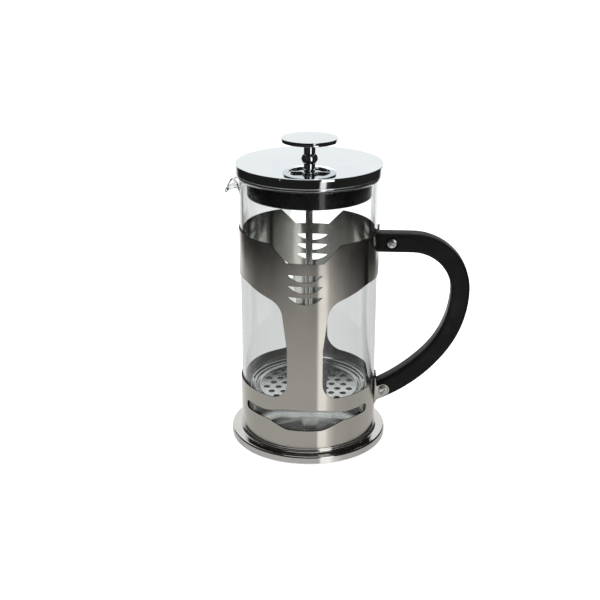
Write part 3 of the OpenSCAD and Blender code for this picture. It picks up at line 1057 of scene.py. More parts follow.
@dataclass
class FrameSheet:
    """The pressed steel sheet round the glass.

    It is cut flat and rolled: U is the length along the sheet from the spout, positive through the front and
    negative through the back, and V is the height. Its two ends meet at the handle.
    """

    radius: float = 50.0
    thickness: float = 0.6
    bend: float = 0.8
    window_low: float = 47.0
    window_top: float = 127.2
    strut_half: float = 12.7
    neck_start: float = 85.0
    neck_flare: float = 4.6
    neck_drop: float = 9.2
    shoulder_degrees: float = 57.0
    notch_half: float = 25.0
    notch_floor_half: float = 12.8
    notch_depth: float = 12.2
    smile_half: float = 12.35
    smile_depth: float = 5.3
    smile_first: float = 20.2
    smile_pitch: float = 7.9
    smile_count: int = 3
    boat_degrees: float = 60.0
    upper_tab_y: float = 0.75
    upper_tab_half: float = 5.2
    lower_tab_y: float = 7.65
    lower_tab_end: float = 4.6
    lower_tab_low: float = 25.6
    foot_flange: float = 5.6
    screw_hole: float = 2.05

    def __post_init__(self) -> None:
        """Takes the heights and the screws' places from the frame."""
        low, high = span("frame_sheet")
        self.foot, self.top = low[2], high[2]
        self.upper = (sum(span("upper_nut")) / 2)[[0, 2]]
        self.lower = (sum(span("lower_nut")) / 2)[[0, 2]]
        self.front = self.radius * math.pi / 2

    def bend_start(self, tab_y: float) -> tuple[float, float]:
        """Says where the sheet leaves its circle to end as a flat tab.

        The bend turns the sheet by t: cos t = (tab distance + bend radius) / (sheet radius + bend radius).

        Args:
            tab_y: distance of the tab's outer face from the middle plane.

        Returns:
            The length along the sheet where the bend starts, and the angle t.
        """
        turn = math.acos((tab_y + self.bend) / (self.radius + self.bend))
        return self.radius * (math.pi / 2 + turn), turn

    def along_tab(self, tab_y: float, x: float) -> float:
        """Returns the length along the sheet at which a tab reaches x."""
        start, turn = self.bend_start(tab_y)
        return start + self.bend * turn + x - (self.radius + self.bend) * math.sin(turn)

    def place(self, plane: Array, depth: Array) -> tuple[Array, Array]:
        """Rolls flat points into place.

        Up to the bend a point is radius times (-cos a, -sin a), with a = length / radius. Past it the point
        swings about the bend's centre, and then runs straight on as a tab.

        Args:
            plane: (n, 2) lengths and heights.
            depth: depth of each point below the outer face.

        Returns:
            The points and their outward normals.
        """
        length, z = np.abs(plane[:, 0]), plane[:, 1]
        in_upper = np.abs(z - self.upper[1]) < self.upper_tab_half + 0.15
        in_lower = (z > self.lower_tab_low - 0.1) & (z < self.window_low + 0.1)
        upper_start, upper_turn = self.bend_start(self.upper_tab_y)
        lower_start, lower_turn = self.bend_start(self.lower_tab_y)
        start = np.where(in_upper, upper_start, np.where(in_lower, lower_start, np.inf))
        bent = self.bend * np.where(in_upper, upper_turn, lower_turn)
        angle = np.minimum(length, start) / self.radius
        past = np.maximum(length - start, 0.0)
        swing = np.minimum(past, bent) / self.bend
        onward = np.maximum(past - bent, 0.0)
        first = np.stack([-np.cos(angle), -np.sin(angle)], axis=1)
        cos, sin = np.cos(swing), np.sin(swing)
        x, y = first.T
        normal = np.stack([x * cos + y * sin, y * cos - x * sin], axis=1)
        heading = np.stack([-normal[:, 1], normal[:, 0]], axis=1)
        flat = first * (self.radius + self.bend) - normal * (self.bend + depth[:, None])
        flat += heading * onward[:, None]
        side = np.where(plane[:, 0] < 0, -1.0, 1.0)
        points = np.stack([flat[:, 0], flat[:, 1] * side, z], axis=1)
        return points, np.stack([normal[:, 0], normal[:, 1] * side, np.zeros_like(z)], axis=1)

    def window_side(self) -> list[Corner]:
        """Draws a window's side beside the strut.

        Returns:
            Its corners, x being the distance from the strut's middle, and their radii.
        """
        strut, high = self.strut_half, self.window_top
        return [(strut, self.window_low, 12.0), (strut, self.neck_start, 34.0),
                (strut + self.neck_flare, high - self.neck_drop, 13.0),
                (self.radius * math.radians(self.shoulder_degrees), high, 30.0)]

    def half_outline(self) -> Array:
        """Draws the outline of the front half.

        Returns:
            Points from the foot at the spout round to the top at the spout.
        """
        f, low, high, top = self.front, self.window_low, self.window_top, self.top
        seam = self.radius * math.pi - 0.2
        relief = self.bend_start(self.lower_tab_y)[0] - 0.2
        x, z, r = self.along_tab(self.lower_tab_y, self.lower[0]), self.lower[1], self.lower_tab_end
        root = self.along_tab(self.lower_tab_y, 51.0)
        below = [(0.0, self.foot, 0.0), (seam, self.foot, 0.0), (seam, self.lower_tab_low - 0.5, 0.0),
                 (relief + 1.5, self.lower_tab_low - 0.5, 0.0), (relief, self.lower_tab_low - 0.2, 0.0),
                 (relief, self.lower_tab_low, 0.0), (root - 0.8, self.lower_tab_low + 0.9, 1.0),
                 (root, z - 8.3, 0.0)]
        tip = arc(x, z, r, -48.0, 104.0, 18)
        wedge = [(root - 0.2, z + 2.6, 0.8), (root - 0.9, low - 0.4, 0.5), (relief + 0.2, low - 0.4, 0.4),
                 (relief - 0.2, z - 6.6, 0.5), (f + 55.6, low, 4.0)]
        window = [(f + x, z, r) for x, z, r in self.window_side()]
        up_root = self.bend_start(self.upper_tab_y)[0] - 0.2
        end = self.along_tab(self.upper_tab_y, self.upper[0] + 5.0)
        tab_low, tab_high = self.upper[1] - self.upper_tab_half, self.upper[1] + self.upper_tab_half
        tab = [(seam, high, 0.0), (seam, tab_low - 0.3, 0.0), (up_root, tab_low - 0.3, 0.0),
               (up_root, tab_low, 0.0), (end, tab_low, 3.0), (end, tab_high, 3.0), (up_root, tab_high, 0.0),
               (up_root, tab_high + 0.3, 0.0), (seam, tab_high + 0.3, 0.0), (seam, top + 2.6, 0.3),
               (seam - 1.0, top + 2.4, 0.4), (seam - 2.6, top, 1.5)]
        notch = [(f + self.notch_half, top, 0.8), (f + self.notch_floor_half, top - self.notch_depth, 0.8),
                 (f - self.notch_floor_half, top - self.notch_depth, 0.8), (f - self.notch_half, top, 0.8),
                 (0.0, top, 0.0)]
        tip_corners = [(px, pz, 0.0) for px, pz in tip]
        return rounded([*below, *tip_corners, *wedge, *window, *tab, *notch], closed=False)

    def holes(self) -> list[Array]:
        """Draws the window under the spout, the smiles, the boats and the screw holes.

        Returns:
            Their closed outlines.
        """
        f, low = self.front, self.window_low
        right = [(f - x, z, r) for x, z, r in self.window_side()]
        found = [rounded([*right, *[(-x, z, r) for x, z, r in right[::-1]]], steps=10)]
        half, deep = self.smile_half, self.smile_depth
        r = (half * half + deep * deep) / 2 / deep
        sweep = math.degrees(math.asin(half / r))
        boat = self.radius * math.radians(self.boat_degrees)
        side_low, side_high = low - 18.2, low - 11.9
        hull = [(boat, side_low, 2.8), (boat, side_high, 2.8), (29.0, side_high, 40.0),
                (14.0, low - 8.0, 40.0), (-14.0, low - 8.0, 40.0), (-29.0, side_high, 40.0),
                (-boat, side_high, 2.8), (-boat, side_low, 2.8), (-28.5, side_low, 20.0),
                (-13.0, low - 24.0, 14.0), (13.0, low - 24.0, 14.0), (28.5, side_low, 20.0)]
        for side in (1.0, -1.0):
            for i in range(self.smile_count):
                level = self.top - self.smile_first - i * self.smile_pitch
                bow = arc(0.0, level + r - deep, r, -90 - sweep + 1.2, -90 + sweep - 1.2, 28)
                found.append((bow + [f, 0.0]) * [side, 1.0])
            found.append((rounded(hull) + [f, 0.0]) * [side, 1.0])
            for tab_y, centre in ((self.upper_tab_y, self.upper), (self.lower_tab_y, self.lower)):
                spot = circle(self.along_tab(tab_y, centre[0]), centre[1], self.screw_hole, 20)
                found.append(spot * [side, 1.0])
        return found

    def lattice(self) -> Array:
        """Lays free points over the sheet, 2 mm by 4 mm apart, and 0.2 mm apart across the bends.

        Returns:
            Array of (n, 2) points.
        """
        wide = np.arange(-156.0, 156.1, 2.0)
        tall = np.arange(self.foot + 2.0, self.top + 2.0, 4.0)
        nets = [np.stack(np.meshgrid(wide, tall), axis=-1).reshape(-1, 2)]
        for tab_y, first, last in (
            (self.upper_tab_y, self.upper[1] - self.upper_tab_half, self.upper[1] + self.upper_tab_half),
            (self.lower_tab_y, self.lower_tab_low, self.window_low),
        ):
            start = self.bend_start(tab_y)[0]
            across = np.arange(start, start + 1.5, 0.2)
            up = np.arange(first, last, 1.3)
            net = np.stack(np.meshgrid(across, up), axis=-1).reshape(-1, 2)
            nets += [net, net * [-1.0, 1.0]]
        return np.concatenate(nets)

    def build(self) -> None:
        """Makes and dresses the sheet and the flange that its foot turns in to."""
        half = self.half_outline()
        outline = np.concatenate([half, (half * [-1.0, 1.0])[-2:0:-1]])
        sheet = Punched(
            outline, self.holes(), self.lattice(), self.thickness, self.place, bevel=0.11,
            step=lambda middle: np.where(np.abs(middle[:, 0]) > 147.0, 0.3, 1.5), shy=0.3,
        ).surface()
        r, t, foot = self.radius - 0.05, self.thickness, self.foot
        flange = turned(rounded([
            (r, foot, 0.25), (r, foot + t, 0.2), (r - self.foot_flange, foot + t, 0.25),
            (r - self.foot_flange, foot, 0.25),
        ]), 192, True)
        add_piece("frame_band", write_mesh("frame_band", [sheet]), SATIN_STEEL.material(),
                  Body.HOLDER, ["frame_sheet"])
        add_piece("frame_foot", write_mesh("frame_foot", [flange]), SATIN_STEEL.material(),
                  Body.HOLDER, ["frame_sheet"])


@dataclass
class Handle:
    """The moulded D handle, its two screws and their nuts."""

    frame_radius: float = 50.2
    thickness: float = 14.0
    roundness: float = 5.2
    stations: int = 220
    columns: int = 72
    screw_head: float = 3.6
    screw_head_rise: float = 2.2
    slot_half: float = 0.95
    slot_rise: float = 5.6
    slot_end: float = 66.2

    def outlines(self) -> tuple[Array, Array]:
        """Draws the side outlines: each is a straight line and three arcs.

        They are drawn from the frame's face and the lower screw's height.

        Returns:
            The outer and the inner outline, from the upper end round to the lower one.
        """
        outer = np.concatenate([
            [[-3.0, 120.3]], arc(23.2, 78, 42.3, 90, 0, 40), arc(-16, 78, 81.5, 0, -33.9, 40)[1:],
            arc(-44.4, 97, 115.7, -33.9, -72, 50)[1:],
        ])
        inner = np.concatenate([
            [[-3.0, 106.3]], arc(23.6, 78.1, 28.2, 90, 0, 40), arc(-18, 78.1, 69.8, 0, -43.2, 40)[1:],
            arc(-59, 116.5, 125.9, -43.2, -72, 50)[1:],
        ])
        origin = np.array([50.0, (sum(span("lower_nut")) / 2)[2]])
        return outer + origin, inner + origin

    @staticmethod
    def spaced(path: Array, count: int) -> Array:
        """Divides a path evenly.

        Args:
            path: (n, 2) points.
            count: number of points wanted.

        Returns:
            Array of (count, 2) points at even distances.
        """
        length = np.concatenate([[0.0], np.cumsum(np.linalg.norm(np.diff(path, axis=0), axis=1))])
        wanted = np.linspace(0.0, length[-1], count)
        return np.stack([np.interp(wanted, length, path[:, axis]) for axis in range(2)], axis=1)

    def bar(self) -> Surface:
        """Builds the bar.

        At each station the section is a superellipse that spans the two outlines along the outer one's
        normal. Every line along the bar is then cut where it meets the frame's cylinder, so both ends are
        hollow.

        Returns:
            The closed surface.
        """
        outer, inner = self.outlines()
        outer, fine = self.spaced(outer, self.stations), self.spaced(inner, 3000)
        tangent = np.gradient(outer, axis=0)
        tangent /= np.linalg.norm(tangent, axis=1, keepdims=True)
        inward = np.stack([tangent[:, 1], -tangent[:, 0]], axis=1)
        to_inner = fine[None] - outer[:, None]
        ahead = np.einsum("ijk,ik->ij", to_inner, inward)
        penalty = np.where((ahead > 4) & (ahead < 24), 0.0, 99.0)
        aside = np.abs(np.einsum("ijk,ik->ij", to_inner, tangent)) + penalty
        thick = ahead[np.arange(len(outer)), np.argmin(aside, axis=1)]
        thick = np.convolve(np.pad(thick, 6, mode="edge"), np.full(13, 1 / 13), mode="valid")
        angle = np.linspace(0, TURN, self.columns + 1)
        power = 2.0 / self.roundness
        across = np.sign(np.cos(angle)) * np.abs(np.cos(angle)) ** power
        deep = np.sign(np.sin(angle)) * np.abs(np.sin(angle)) ** power
        middle = outer + inward * thick[:, None] / 2
        flat = middle[:, None] - inward[:, None] * (thick[:, None] / 2 * across[None])[..., None]
        y = np.broadcast_to(deep * self.thickness / 2, flat.shape[:2])
        points = np.stack([flat[..., 0], y, flat[..., 1]], axis=-1)
        return self.ended(points)

    def ended(self, points: Array) -> Surface:
        """Cuts the bar's lines at the frame's cylinder and closes both ends with faces that lie on it.

        Args:
            points: (stations, columns, 3) points of the bar.

        Returns:
            The closed surface.
        """
        outside = np.hypot(points[..., 0], points[..., 1]) - self.frame_radius
        middle = len(points) // 2
        index = np.arange(len(points), dtype=float)
        result = np.empty_like(points)
        for column in range(points.shape[1]):
            gap = outside[:, column]
            first = np.interp(0.0, gap[:middle], index[:middle])
            last = np.interp(0.0, gap[middle:][::-1], index[middle:][::-1])
            wanted = np.linspace(first, last, len(points))
            for axis in range(3):
                result[:, column, axis] = np.interp(wanted, index, points[:, column, axis])
        return grid(np.concatenate([self.end_face(result[0])[::-1], result, self.end_face(result[-1])]))

    def end_face(self, rim: Array) -> Array:
        """Shrinks a rim to its centre in four rows, each point set back onto the frame's cylinder.

        Args:
            rim: (columns, 3) points of the rim.

        Returns:
            (4, columns, 3) points.
        """
        centre = rim[:-1].mean(axis=0)
        share = np.array([0.8, 0.5, 0.2, 0.0])[:, None, None]
        rows = centre + (rim[None] - centre) * share
        rows[..., 0] = np.sqrt(self.frame_radius ** 2 - rows[..., 1] ** 2)
        return rows

    def cutters(self) -> list[Surface]:
        """Builds what is cut from the bar: two bores, the head's counterbore, the nut's pocket and the
        slot.

        Returns:
            The closed surfaces.
        """
        upper, lower = sum(span("upper_nut")) / 2, sum(span("lower_nut")) / 2
        half = self.thickness / 2

        def drum(centre: Array, radius: float, start: float, end: float, sides: int = 64) -> Surface:
            """Returns a plain cylinder along Y from start to end."""
            profile = np.array([[0.0, start], [radius, start], [radius, end], [0.0, end]])
            return set_along_y(turned(profile, sides), [centre[0], 0.0, centre[2]], 1.0)

        low = [self.frame_radius - 3.2, -self.slot_half, upper[2] - self.slot_rise]
        slot = grid(self.box_rows(low, [self.slot_end, self.slot_half, upper[2] + self.slot_rise]))
        return [
            drum(upper, 2.15, -half - 1, half + 1),
            drum(lower, 2.15, -half - 1, half + 1),
            drum(upper, self.screw_head + 0.8, -half - 1, -half + self.screw_head_rise),
            drum(upper, 4.24, half - 3.2, half + 1, 6),
            slot,
        ]

    @staticmethod
    def box_rows(low: Sequence[float], high: Sequence[float]) -> Array:
        """Lays a closed box as rows: its middle below, its lower and upper rectangles, its middle above.

        Args:
            low: lowest corner.
            high: highest corner.

        Returns:
            (4, 5, 3) points.
        """
        x0, y0, z0 = low
        x1, y1, z1 = high
        ring = np.array([[x0, y0], [x1, y0], [x1, y1], [x0, y1], [x0, y0]])
        centre = np.broadcast_to([(x0 + x1) / 2, (y0 + y1) / 2], ring.shape)
        rows = [(centre, z0), (ring, z0), (ring, z1), (centre, z1)]
        return np.stack([np.concatenate([flat, np.full((5, 1), z)], axis=1) for flat, z in rows])

    def build(self) -> None:
        """Makes and dresses the handle and its fasteners."""
        mesh = carved(write_mesh("grip", [self.bar()]), self.cutters())
        add_piece("grip", mesh, HANDLE_PLASTIC.material(), Body.HOLDER, ["handle"])
        steel = FASTENER_STEEL.material()
        for name, slots in (("upper", (0.7, 0.7 + math.pi / 2)), ("lower", (0.87,))):
            low, high = span(f"{name}_screw")
            seat, nut_low, nut_high = low[1] + self.screw_head_rise, *(c[1] for c in span(f"{name}_nut"))
            centre = (low + high) / 2
            bolt = screw(self.screw_head, self.screw_head_rise, 2.0, high[1] - seat, slots)
            set_along_y(bolt, [centre[0], seat, centre[2]], -1.0)
            nut = set_along_y(hex_nut(4.04, nut_high - nut_low, 2.03), [centre[0], nut_low, centre[2]], 1.0)
            for piece, surface, node in (("bolt", bolt, "screw"), ("hex", nut, "nut")):
                add_piece(f"{name}_{piece}", write_mesh(f"{name}_{piece}", [surface]), steel, Body.HOLDER,
                          [f"{name}_{node}"])


@dataclass
class Beaker:
    """The drawn glass beaker with its pulled spout."""

    wall: float = 2.2
    floor: float = 3.2
    corner: float = 10.0
    punt: float = 0.6
    spout_low: float = 14.5
    spout_half: float = 10.5
    spout_reach: float = 8.9
    spout_fall: float = 12.3
    spout_columns: int = 84
    plain_columns: int = 172

    def __post_init__(self) -> None:
        """Takes the foot, the rim and the radius from the frame."""
        low, high = span("beaker")
        self.low, self.rim, self.radius = low[2], high[2], high[0]

    def angles(self) -> Array:
        """Spaces the columns, close together across the spout and wider round the rest.

        Returns:
            The columns' angles.
        """
        half = math.asin(self.spout_half / self.radius) * 1.25
        near = np.linspace(math.pi - half, math.pi + half, self.spout_columns + 1)
        rest = np.linspace(math.pi + half, math.pi - half + TURN, self.plain_columns + 1)[1:]
        return np.concatenate([near, rest])

    def outer(self, angle: Array) -> Array:
        """Works out the outer face, from the middle of the foot up to the rim.

        The wall is a turned profile. Over the top 14.5 mm each line of it is a quadratic curve from the wall
        to the rim: start (1-t)^2 + control 2t(1-t) + rim t^2. Away from the spout the rim stands over the
        wall, so the line is straight; across it the rim moves out and down, and the line curls over.

        Args:
            angle: angle of each column.

        Returns:
            (rows, columns, 3) points.
        """
        r, low, bend = self.radius, self.low, self.rim - self.spout_low
        punt = np.linspace(0.0, r - self.corner, 12)
        profile = np.concatenate([
            np.stack([punt, low + self.punt * (1 - smooth(punt / (r - self.corner - 3.0)))], axis=1),
            arc(r - self.corner, low + self.corner, self.corner, -90, 0, 14)[1:],
            np.stack([np.full(22, r), np.linspace(low + self.corner, bend, 23)[1:]], axis=1),
        ])
        body = np.stack([
            profile[:, :1] * np.cos(angle), profile[:, :1] * np.sin(angle),
            np.repeat(profile[:, 1:], len(angle), axis=1),
        ], axis=-1)
        half = math.asin(self.spout_half / r)
        share = np.clip(np.abs(angle - math.pi) / half, 0.0, 1.0)
        out = np.cos(share * math.pi / 2) ** 0.62 * smooth((1.0 - share) / 0.22)
        fall = np.cos(share * math.pi / 2) ** 2
        level = self.rim - 1.1
        rim = np.stack([
            r * np.cos(angle) - self.spout_reach * out, r * np.sin(angle), level - self.spout_fall * fall,
        ], axis=-1)
        start = body[-1]
        control = start.copy()
        control[:, 2] = (bend + level) / 2 + 0.3
        t = np.linspace(0.0, 1.0, 27)[1:, None, None]
        return np.concatenate([body, start * (1 - t) ** 2 + control * 2 * t * (1 - t) + rim * t ** 2])

    def surface(self) -> Surface:
        """Builds the whole glass.

        The inner face is the outer one moved back along its normal by the wall, which thickens to the
        floor, and the rim between them is half a circle about the middle of the wall.

        Returns:
            The closed surface.
        """
        angle = self.angles()
        outer = self.outer(angle)
        ring = outer[:, :-1]
        round_way = np.roll(ring, -1, axis=1) - np.roll(ring, 1, axis=1)
        upward = np.gradient(ring, axis=0)
        normal = np.cross(round_way, upward)
        normal[:3] = [0.0, 0.0, -1.0]
        normal /= np.linalg.norm(normal, axis=2, keepdims=True)
        normal = np.concatenate([normal, normal[:, :1]], axis=1)
        flatness = smooth(-normal[..., 2:3])
        inner = outer - normal * (self.wall + (self.floor - self.wall) * flatness)
        thick = self.wall / 2
        sway = np.linspace(0.0, math.pi, 10)[1:-1, None, None]
        tip = outer[-1] - outer[-2]
        tip /= np.linalg.norm(tip, axis=1, keepdims=True)
        bead = outer[-1] - normal[-1] * thick + thick * (np.cos(sway) * normal[-1] + np.sin(sway) * tip)
        inner[0, :, :2] = 0.0
        return grid(np.concatenate([outer, bead, inner[::-1]]))

    def build(self) -> None:
        """Makes and dresses the glass."""
        add_piece("glass", write_mesh("glass", [self.surface()], 50.0), BEAKER_GLASS.material(),
                  Body.BEAKER, ["beaker"])


@dataclass
class Lid:
    """The chromed cap, the black ring under it, the guide bush that the rod runs in, and its nut."""

    steel: float = 0.7
    hem_rise: float = 1.5
    ring_wall: float = 2.2
    bead: float = 6.0
    rod: float = 2.56
    shank: float = 4.0

    def cap_surface(self) -> Surface:
        """Turns the cap: a shallow dome z = apex - rise (r / R)^2, a straight side, a groove and a hem.

        Returns:
            The closed surface.
        """
        low, high = span("lid_cap")
        r, t = high[0], self.steel
        apex, edge = high[2], span("lid_cap")[1][2] - 2.45
        foot, groove = low[2], low[2] + self.hem_rise
        across = np.linspace(self.shank + 0.1, r - 1.2, 40)
        dome = np.stack([across, apex - (apex - edge) * (across / r) ** 2], axis=1)
        hem = r - 0.8
        side = rounded([
            (*dome[-1], 0.0), (r, edge - 0.02, 0.55), (r, groove + 0.45, 0.25),
            (hem - 0.5, groove + 0.3, 0.12), (hem - 0.5, groove, 0.12), (hem, groove - 0.1, 0.2),
            (hem, foot, 0.3), (hem - t - 0.4, foot, 0.2),
            (hem - t - 0.4, groove + 0.8, 0.3), (r - t, groove + 1.1, 0.3), (r - t, edge - t, 0.3),
            (dome[-2][0], dome[-2][1] - t, 0.0),
        ], closed=False)
        under = dome[-3::-3] - [0.0, t]
        return turned(np.concatenate([dome, side[1:], under]), 256, True)

    def ring_surface(self) -> Surface:
        """Turns the ring: an open tub with a flange over the glass and a tall hub.

        Returns:
            The closed surface.
        """
        low, high = span("lid_ring")
        cap_low = span("lid_cap")[0][2]
        flange, rim, wall = high[0], span("beaker")[1][2], self.ring_wall
        foot, hub, bore = low[2], 7.0, self.shank + 0.05
        tub = 44.0
        profile = rounded([
            (bore, foot, 0.0), (12.0, foot, 0.0), (38.0, foot, 0.0), (tub - 0.25, foot, 1.1), (tub, rim, 0.6),
            (flange, rim, 0.3), (flange, cap_low + 1.4, 0.3), (flange - wall, cap_low + 1.4, 0.3),
            (flange - wall, rim + 1.8, 0.6), (tub - wall, rim + 1.8, 0.6), (tub - wall, foot + wall, 0.8),
            (hub, foot + wall, 0.8), (hub, high[2], 0.3), (bore, high[2], 0.0),
        ])
        return turned(profile, 240, True)

    def bush_surface(self) -> Surface:
        """Turns the bush: a shank with a bead on top whose radius is bead times sqrt(1 - (h / H)^2).

        Returns:
            The closed surface.
        """
        low, high = span("guide_bush")
        seat = span("lid_cap")[1][2]
        rise = high[2] - seat
        neck = 4.4
        full = rise / math.sqrt(1 - (neck / self.bead) ** 2)
        h = np.linspace(0.0, rise, 16)
        bead = np.stack([self.bead * np.sqrt(1 - (h / full) ** 2), seat + h], axis=1)
        levels = np.linspace(low[2] + 0.5, low[2] + 7.0, 60)
        thread = np.stack([np.full(60, self.shank - 0.02), levels], axis=1)
        profile = np.concatenate([
            [[self.rod, low[2] + 0.3], [self.rod + 0.3, low[2]], [self.shank - 0.4, low[2]]], thread,
            [[self.shank, seat - 0.7], [self.shank, seat]], bead,
            [[self.rod + 0.25, high[2]], [self.rod, high[2] - 0.25]],
        ])

        def shape(radius: Array, level: Array, angle: Array) -> tuple[Array, Array]:
            """Cuts a fine thread inwards on the shank.

            Args:
                radius: radius of each grid point.
                level: height of each grid point.
                angle: angle of each column.

            Returns:
                The new radii and heights.
            """
            cut = np.abs((level / 0.75 - angle / TURN) % 1.0 - 0.5) * 0.5
            on = (np.abs(radius - self.shank) < 0.05) & (level < low[2] + 7.1)
            return np.where(on, radius - cut, radius), level

        return turned(profile, 96, True, shape)

    def build(self) -> None:
        """Makes and dresses the four pieces."""
        chrome = CHROME.material()
        low, high = span("bush_nut")
        nut = hex_nut(8.0, high[2] - low[2], self.shank + 0.06)
        nut.points += [0.0, 0.0, low[2]]
        for name, surface, crease, finish, slot, node in (
            ("cap", self.cap_surface(), 24.0, chrome, "lid_chrome", "lid_cap"),
            ("ring", self.ring_surface(), 32.0, LID_PLASTIC.material(), "black_plastic", "lid_ring"),
            ("bush", self.bush_surface(), 32.0, chrome, "lid_chrome", "guide_bush"),
            ("bush_hex", nut, 32.0, FASTENER_STEEL.material(), "fastener_steel", "bush_nut"),
        ):
            add_piece(name, write_mesh(name, [surface], crease), finish, Body.LID, [node])


@dataclass
class Plunger:
    """The knob, the rod and the stack of filter plates at its foot."""

    rod: float = 2.5
    pocket_edge: float = 15.3
    stem: float = 4.2
    insert: float = 3.3
    pocket: float = 2.2
    rib_half: float = 0.8
    plate: float = 0.6
    mesh: float = 0.4
    cross: float = 0.8
    flat: float = 40.3
    hole: float = 2.35
    hole_pitch: float = 8.7
    rim_hole: float = 0.62
    rim_holes: int = 84
    coil: float = 1.36
    wire: float = 0.34
    windings: int = 176

    def knob_surface(self) -> Surface:
        """Turns the knob: a lightly domed disc with a plain edge, four pockets under it, and a stem.

        Returns:
            The closed surface.
        """
        low, high = span("knob")
        r, top, foot = high[0], high[2], low[2]
        under = top - 4.0
        across = np.linspace(0.0, r - 0.5, 36)
        dome = np.stack([across, top - 1.05 * (across / r) ** 2.6], axis=1)
        edge = rounded([
            (*dome[-1], 0.0), (r, top - 1.2, 0.2), (r - 0.25, under, 0.35), (r - 1.2, under, 0.0),
        ], closed=False)
        beneath = np.linspace(r - 1.4, self.stem + 0.5, 100)
        stem = rounded([
            (self.stem + 0.45, under, 0.0), (self.stem, under, 0.4), (self.stem, foot, 0.3),
            (self.insert, foot, 0.15), (self.insert, under - 0.5, 0.0), (0.0, under - 0.5, 0.0),
        ], closed=False)
        profile = np.concatenate([dome, edge[1:], np.stack([beneath, np.full(100, under)], axis=1), stem])

        def shape(radius: Array, level: Array, angle: Array) -> tuple[Array, Array]:
            """Raises the underside inside each pocket: within two circles and clear of the cross of ribs.

            Args:
                radius: radius of each grid point.
                level: height of each grid point.
                angle: angle of each column.

            Returns:
                The new radii and heights.
            """
            x, y = np.abs(radius * np.cos(angle)), np.abs(radius * np.sin(angle))
            clear = smooth((np.minimum(x, y) - self.rib_half) / 0.25)
            within = smooth((self.pocket_edge - radius) / 0.25) * smooth((radius - self.stem - 1.4) / 0.25)
            on = np.abs(level - under) < 1e-6
            return radius, np.where(on, level + self.pocket * clear * within, level)

        return turned(profile, 288, False, shape)

    def rod_surface(self) -> Surface:
        """Turns the rod, with a thread at its foot and a small chamfer at each end.

        Returns:
            The closed surface.
        """
        low, high = span("plunger_rod")
        foot, top, pitch = low[2], high[2], 0.8
        end = span("rod_collar")[1][2] - 0.3
        levels = np.arange(foot + 0.5, end, pitch / 8)
        profile = np.concatenate([
            [[0.0, foot], [self.rod - 0.4, foot]],
            np.stack([np.full_like(levels, self.rod - 0.24), levels], axis=1),
            [[self.rod, end + 0.1]],
            np.stack([np.full(30, self.rod), np.linspace(end + 4.0, top - 0.5, 30)], axis=1),
            [[self.rod - 0.4, top], [0.0, top]],
        ])

        def shape(radius: Array, level: Array, angle: Array) -> tuple[Array, Array]:
            """Adds the thread's triangle wave below the collar.

            Args:
                radius: radius of each grid point.
                level: height of each grid point.
                angle: angle of each column.

            Returns:
                The new radii and heights.
            """
            wave = np.abs((level / pitch - angle / TURN) % 1.0 - 0.5) * 2.0
            return np.where(np.abs(radius - self.rod + 0.24) < 1e-6, radius + 0.22 * wave, radius), level

        return turned(profile, 64, False, shape)

    def insert_surface(self) -> Surface:
        """Turns the brass insert: a sleeve whose outside is knurled by a cosine of so many turns of the
        angle.

        Returns:
            The closed surface.
        """
        low, high = span("knob_insert")
        levels = np.linspace(low[2] + 0.4, high[2] - 0.4, 12)
        outer = np.stack([np.full(12, self.insert - 0.02), levels], axis=1)
        profile = np.concatenate([
            [[self.rod, low[2]], [self.insert - 0.35, low[2]]], outer,
            [[self.insert - 0.35, high[2]], [self.rod, high[2]]],
        ])

        def shape(radius: Array, level: Array, angle: Array) -> tuple[Array, Array]:
            """Cuts the knurl inwards.

            Args:
                radius: radius of each grid point.
                level: height of each grid point.
                angle: angle of each column.

            Returns:
                The new radii and heights.
            """
            knurl = 0.09 * (1.0 - np.cos(28 * angle))
            return np.where(radius > self.insert - 0.1, radius - knurl, radius), level

        return turned(profile, 168, True, shape)

    def dish(
        self, top: float, start: float, end: float, rise: float
    ) -> Callable[[Array, Array], tuple[Array, Array]]:
        """Makes the formula that dishes a flat plate.

        Height is top, plus a low step at the ring of small holes, plus the rise between the two radii.

        Args:
            top: height of the plate's flat upper face.
            start: radius at which the edge starts to rise.
            end: radius at which it is level again.
            rise: how far it rises.

        Returns:
            The function that places flat points at a depth below the upper face.
        """

        def height(radius: Array) -> Array:
            """Gives the upper face's height at a radius."""
            step = 0.55 * rise / 2.4 * smooth((radius - self.flat + 3.6) / 1.1)
            return top + step + (rise - 0.55 * rise / 2.4) * smooth((radius - start) / (end - start))

        def place(plane: Array, depth: Array) -> tuple[Array, Array]:
            """Lifts flat points to the dish and tilts their normals by its slope.

            Args:
                plane: (n, 2) flat points.
                depth: depth of each point below the upper face.

            Returns:
                The points and their normals.
            """
            radius = np.hypot(plane[:, 0], plane[:, 1])
            slope = (height(radius + 0.01) - height(radius - 0.01)) / 0.02
            unit = plane / np.maximum(radius, 1e-6)[:, None]
            normal = np.concatenate([-unit * slope[:, None], np.ones((len(plane), 1))], axis=1)
            normal /= np.linalg.norm(normal, axis=1, keepdims=True)
            return np.concatenate([plane, (height(radius) - depth)[:, None]], axis=1), normal

        return place

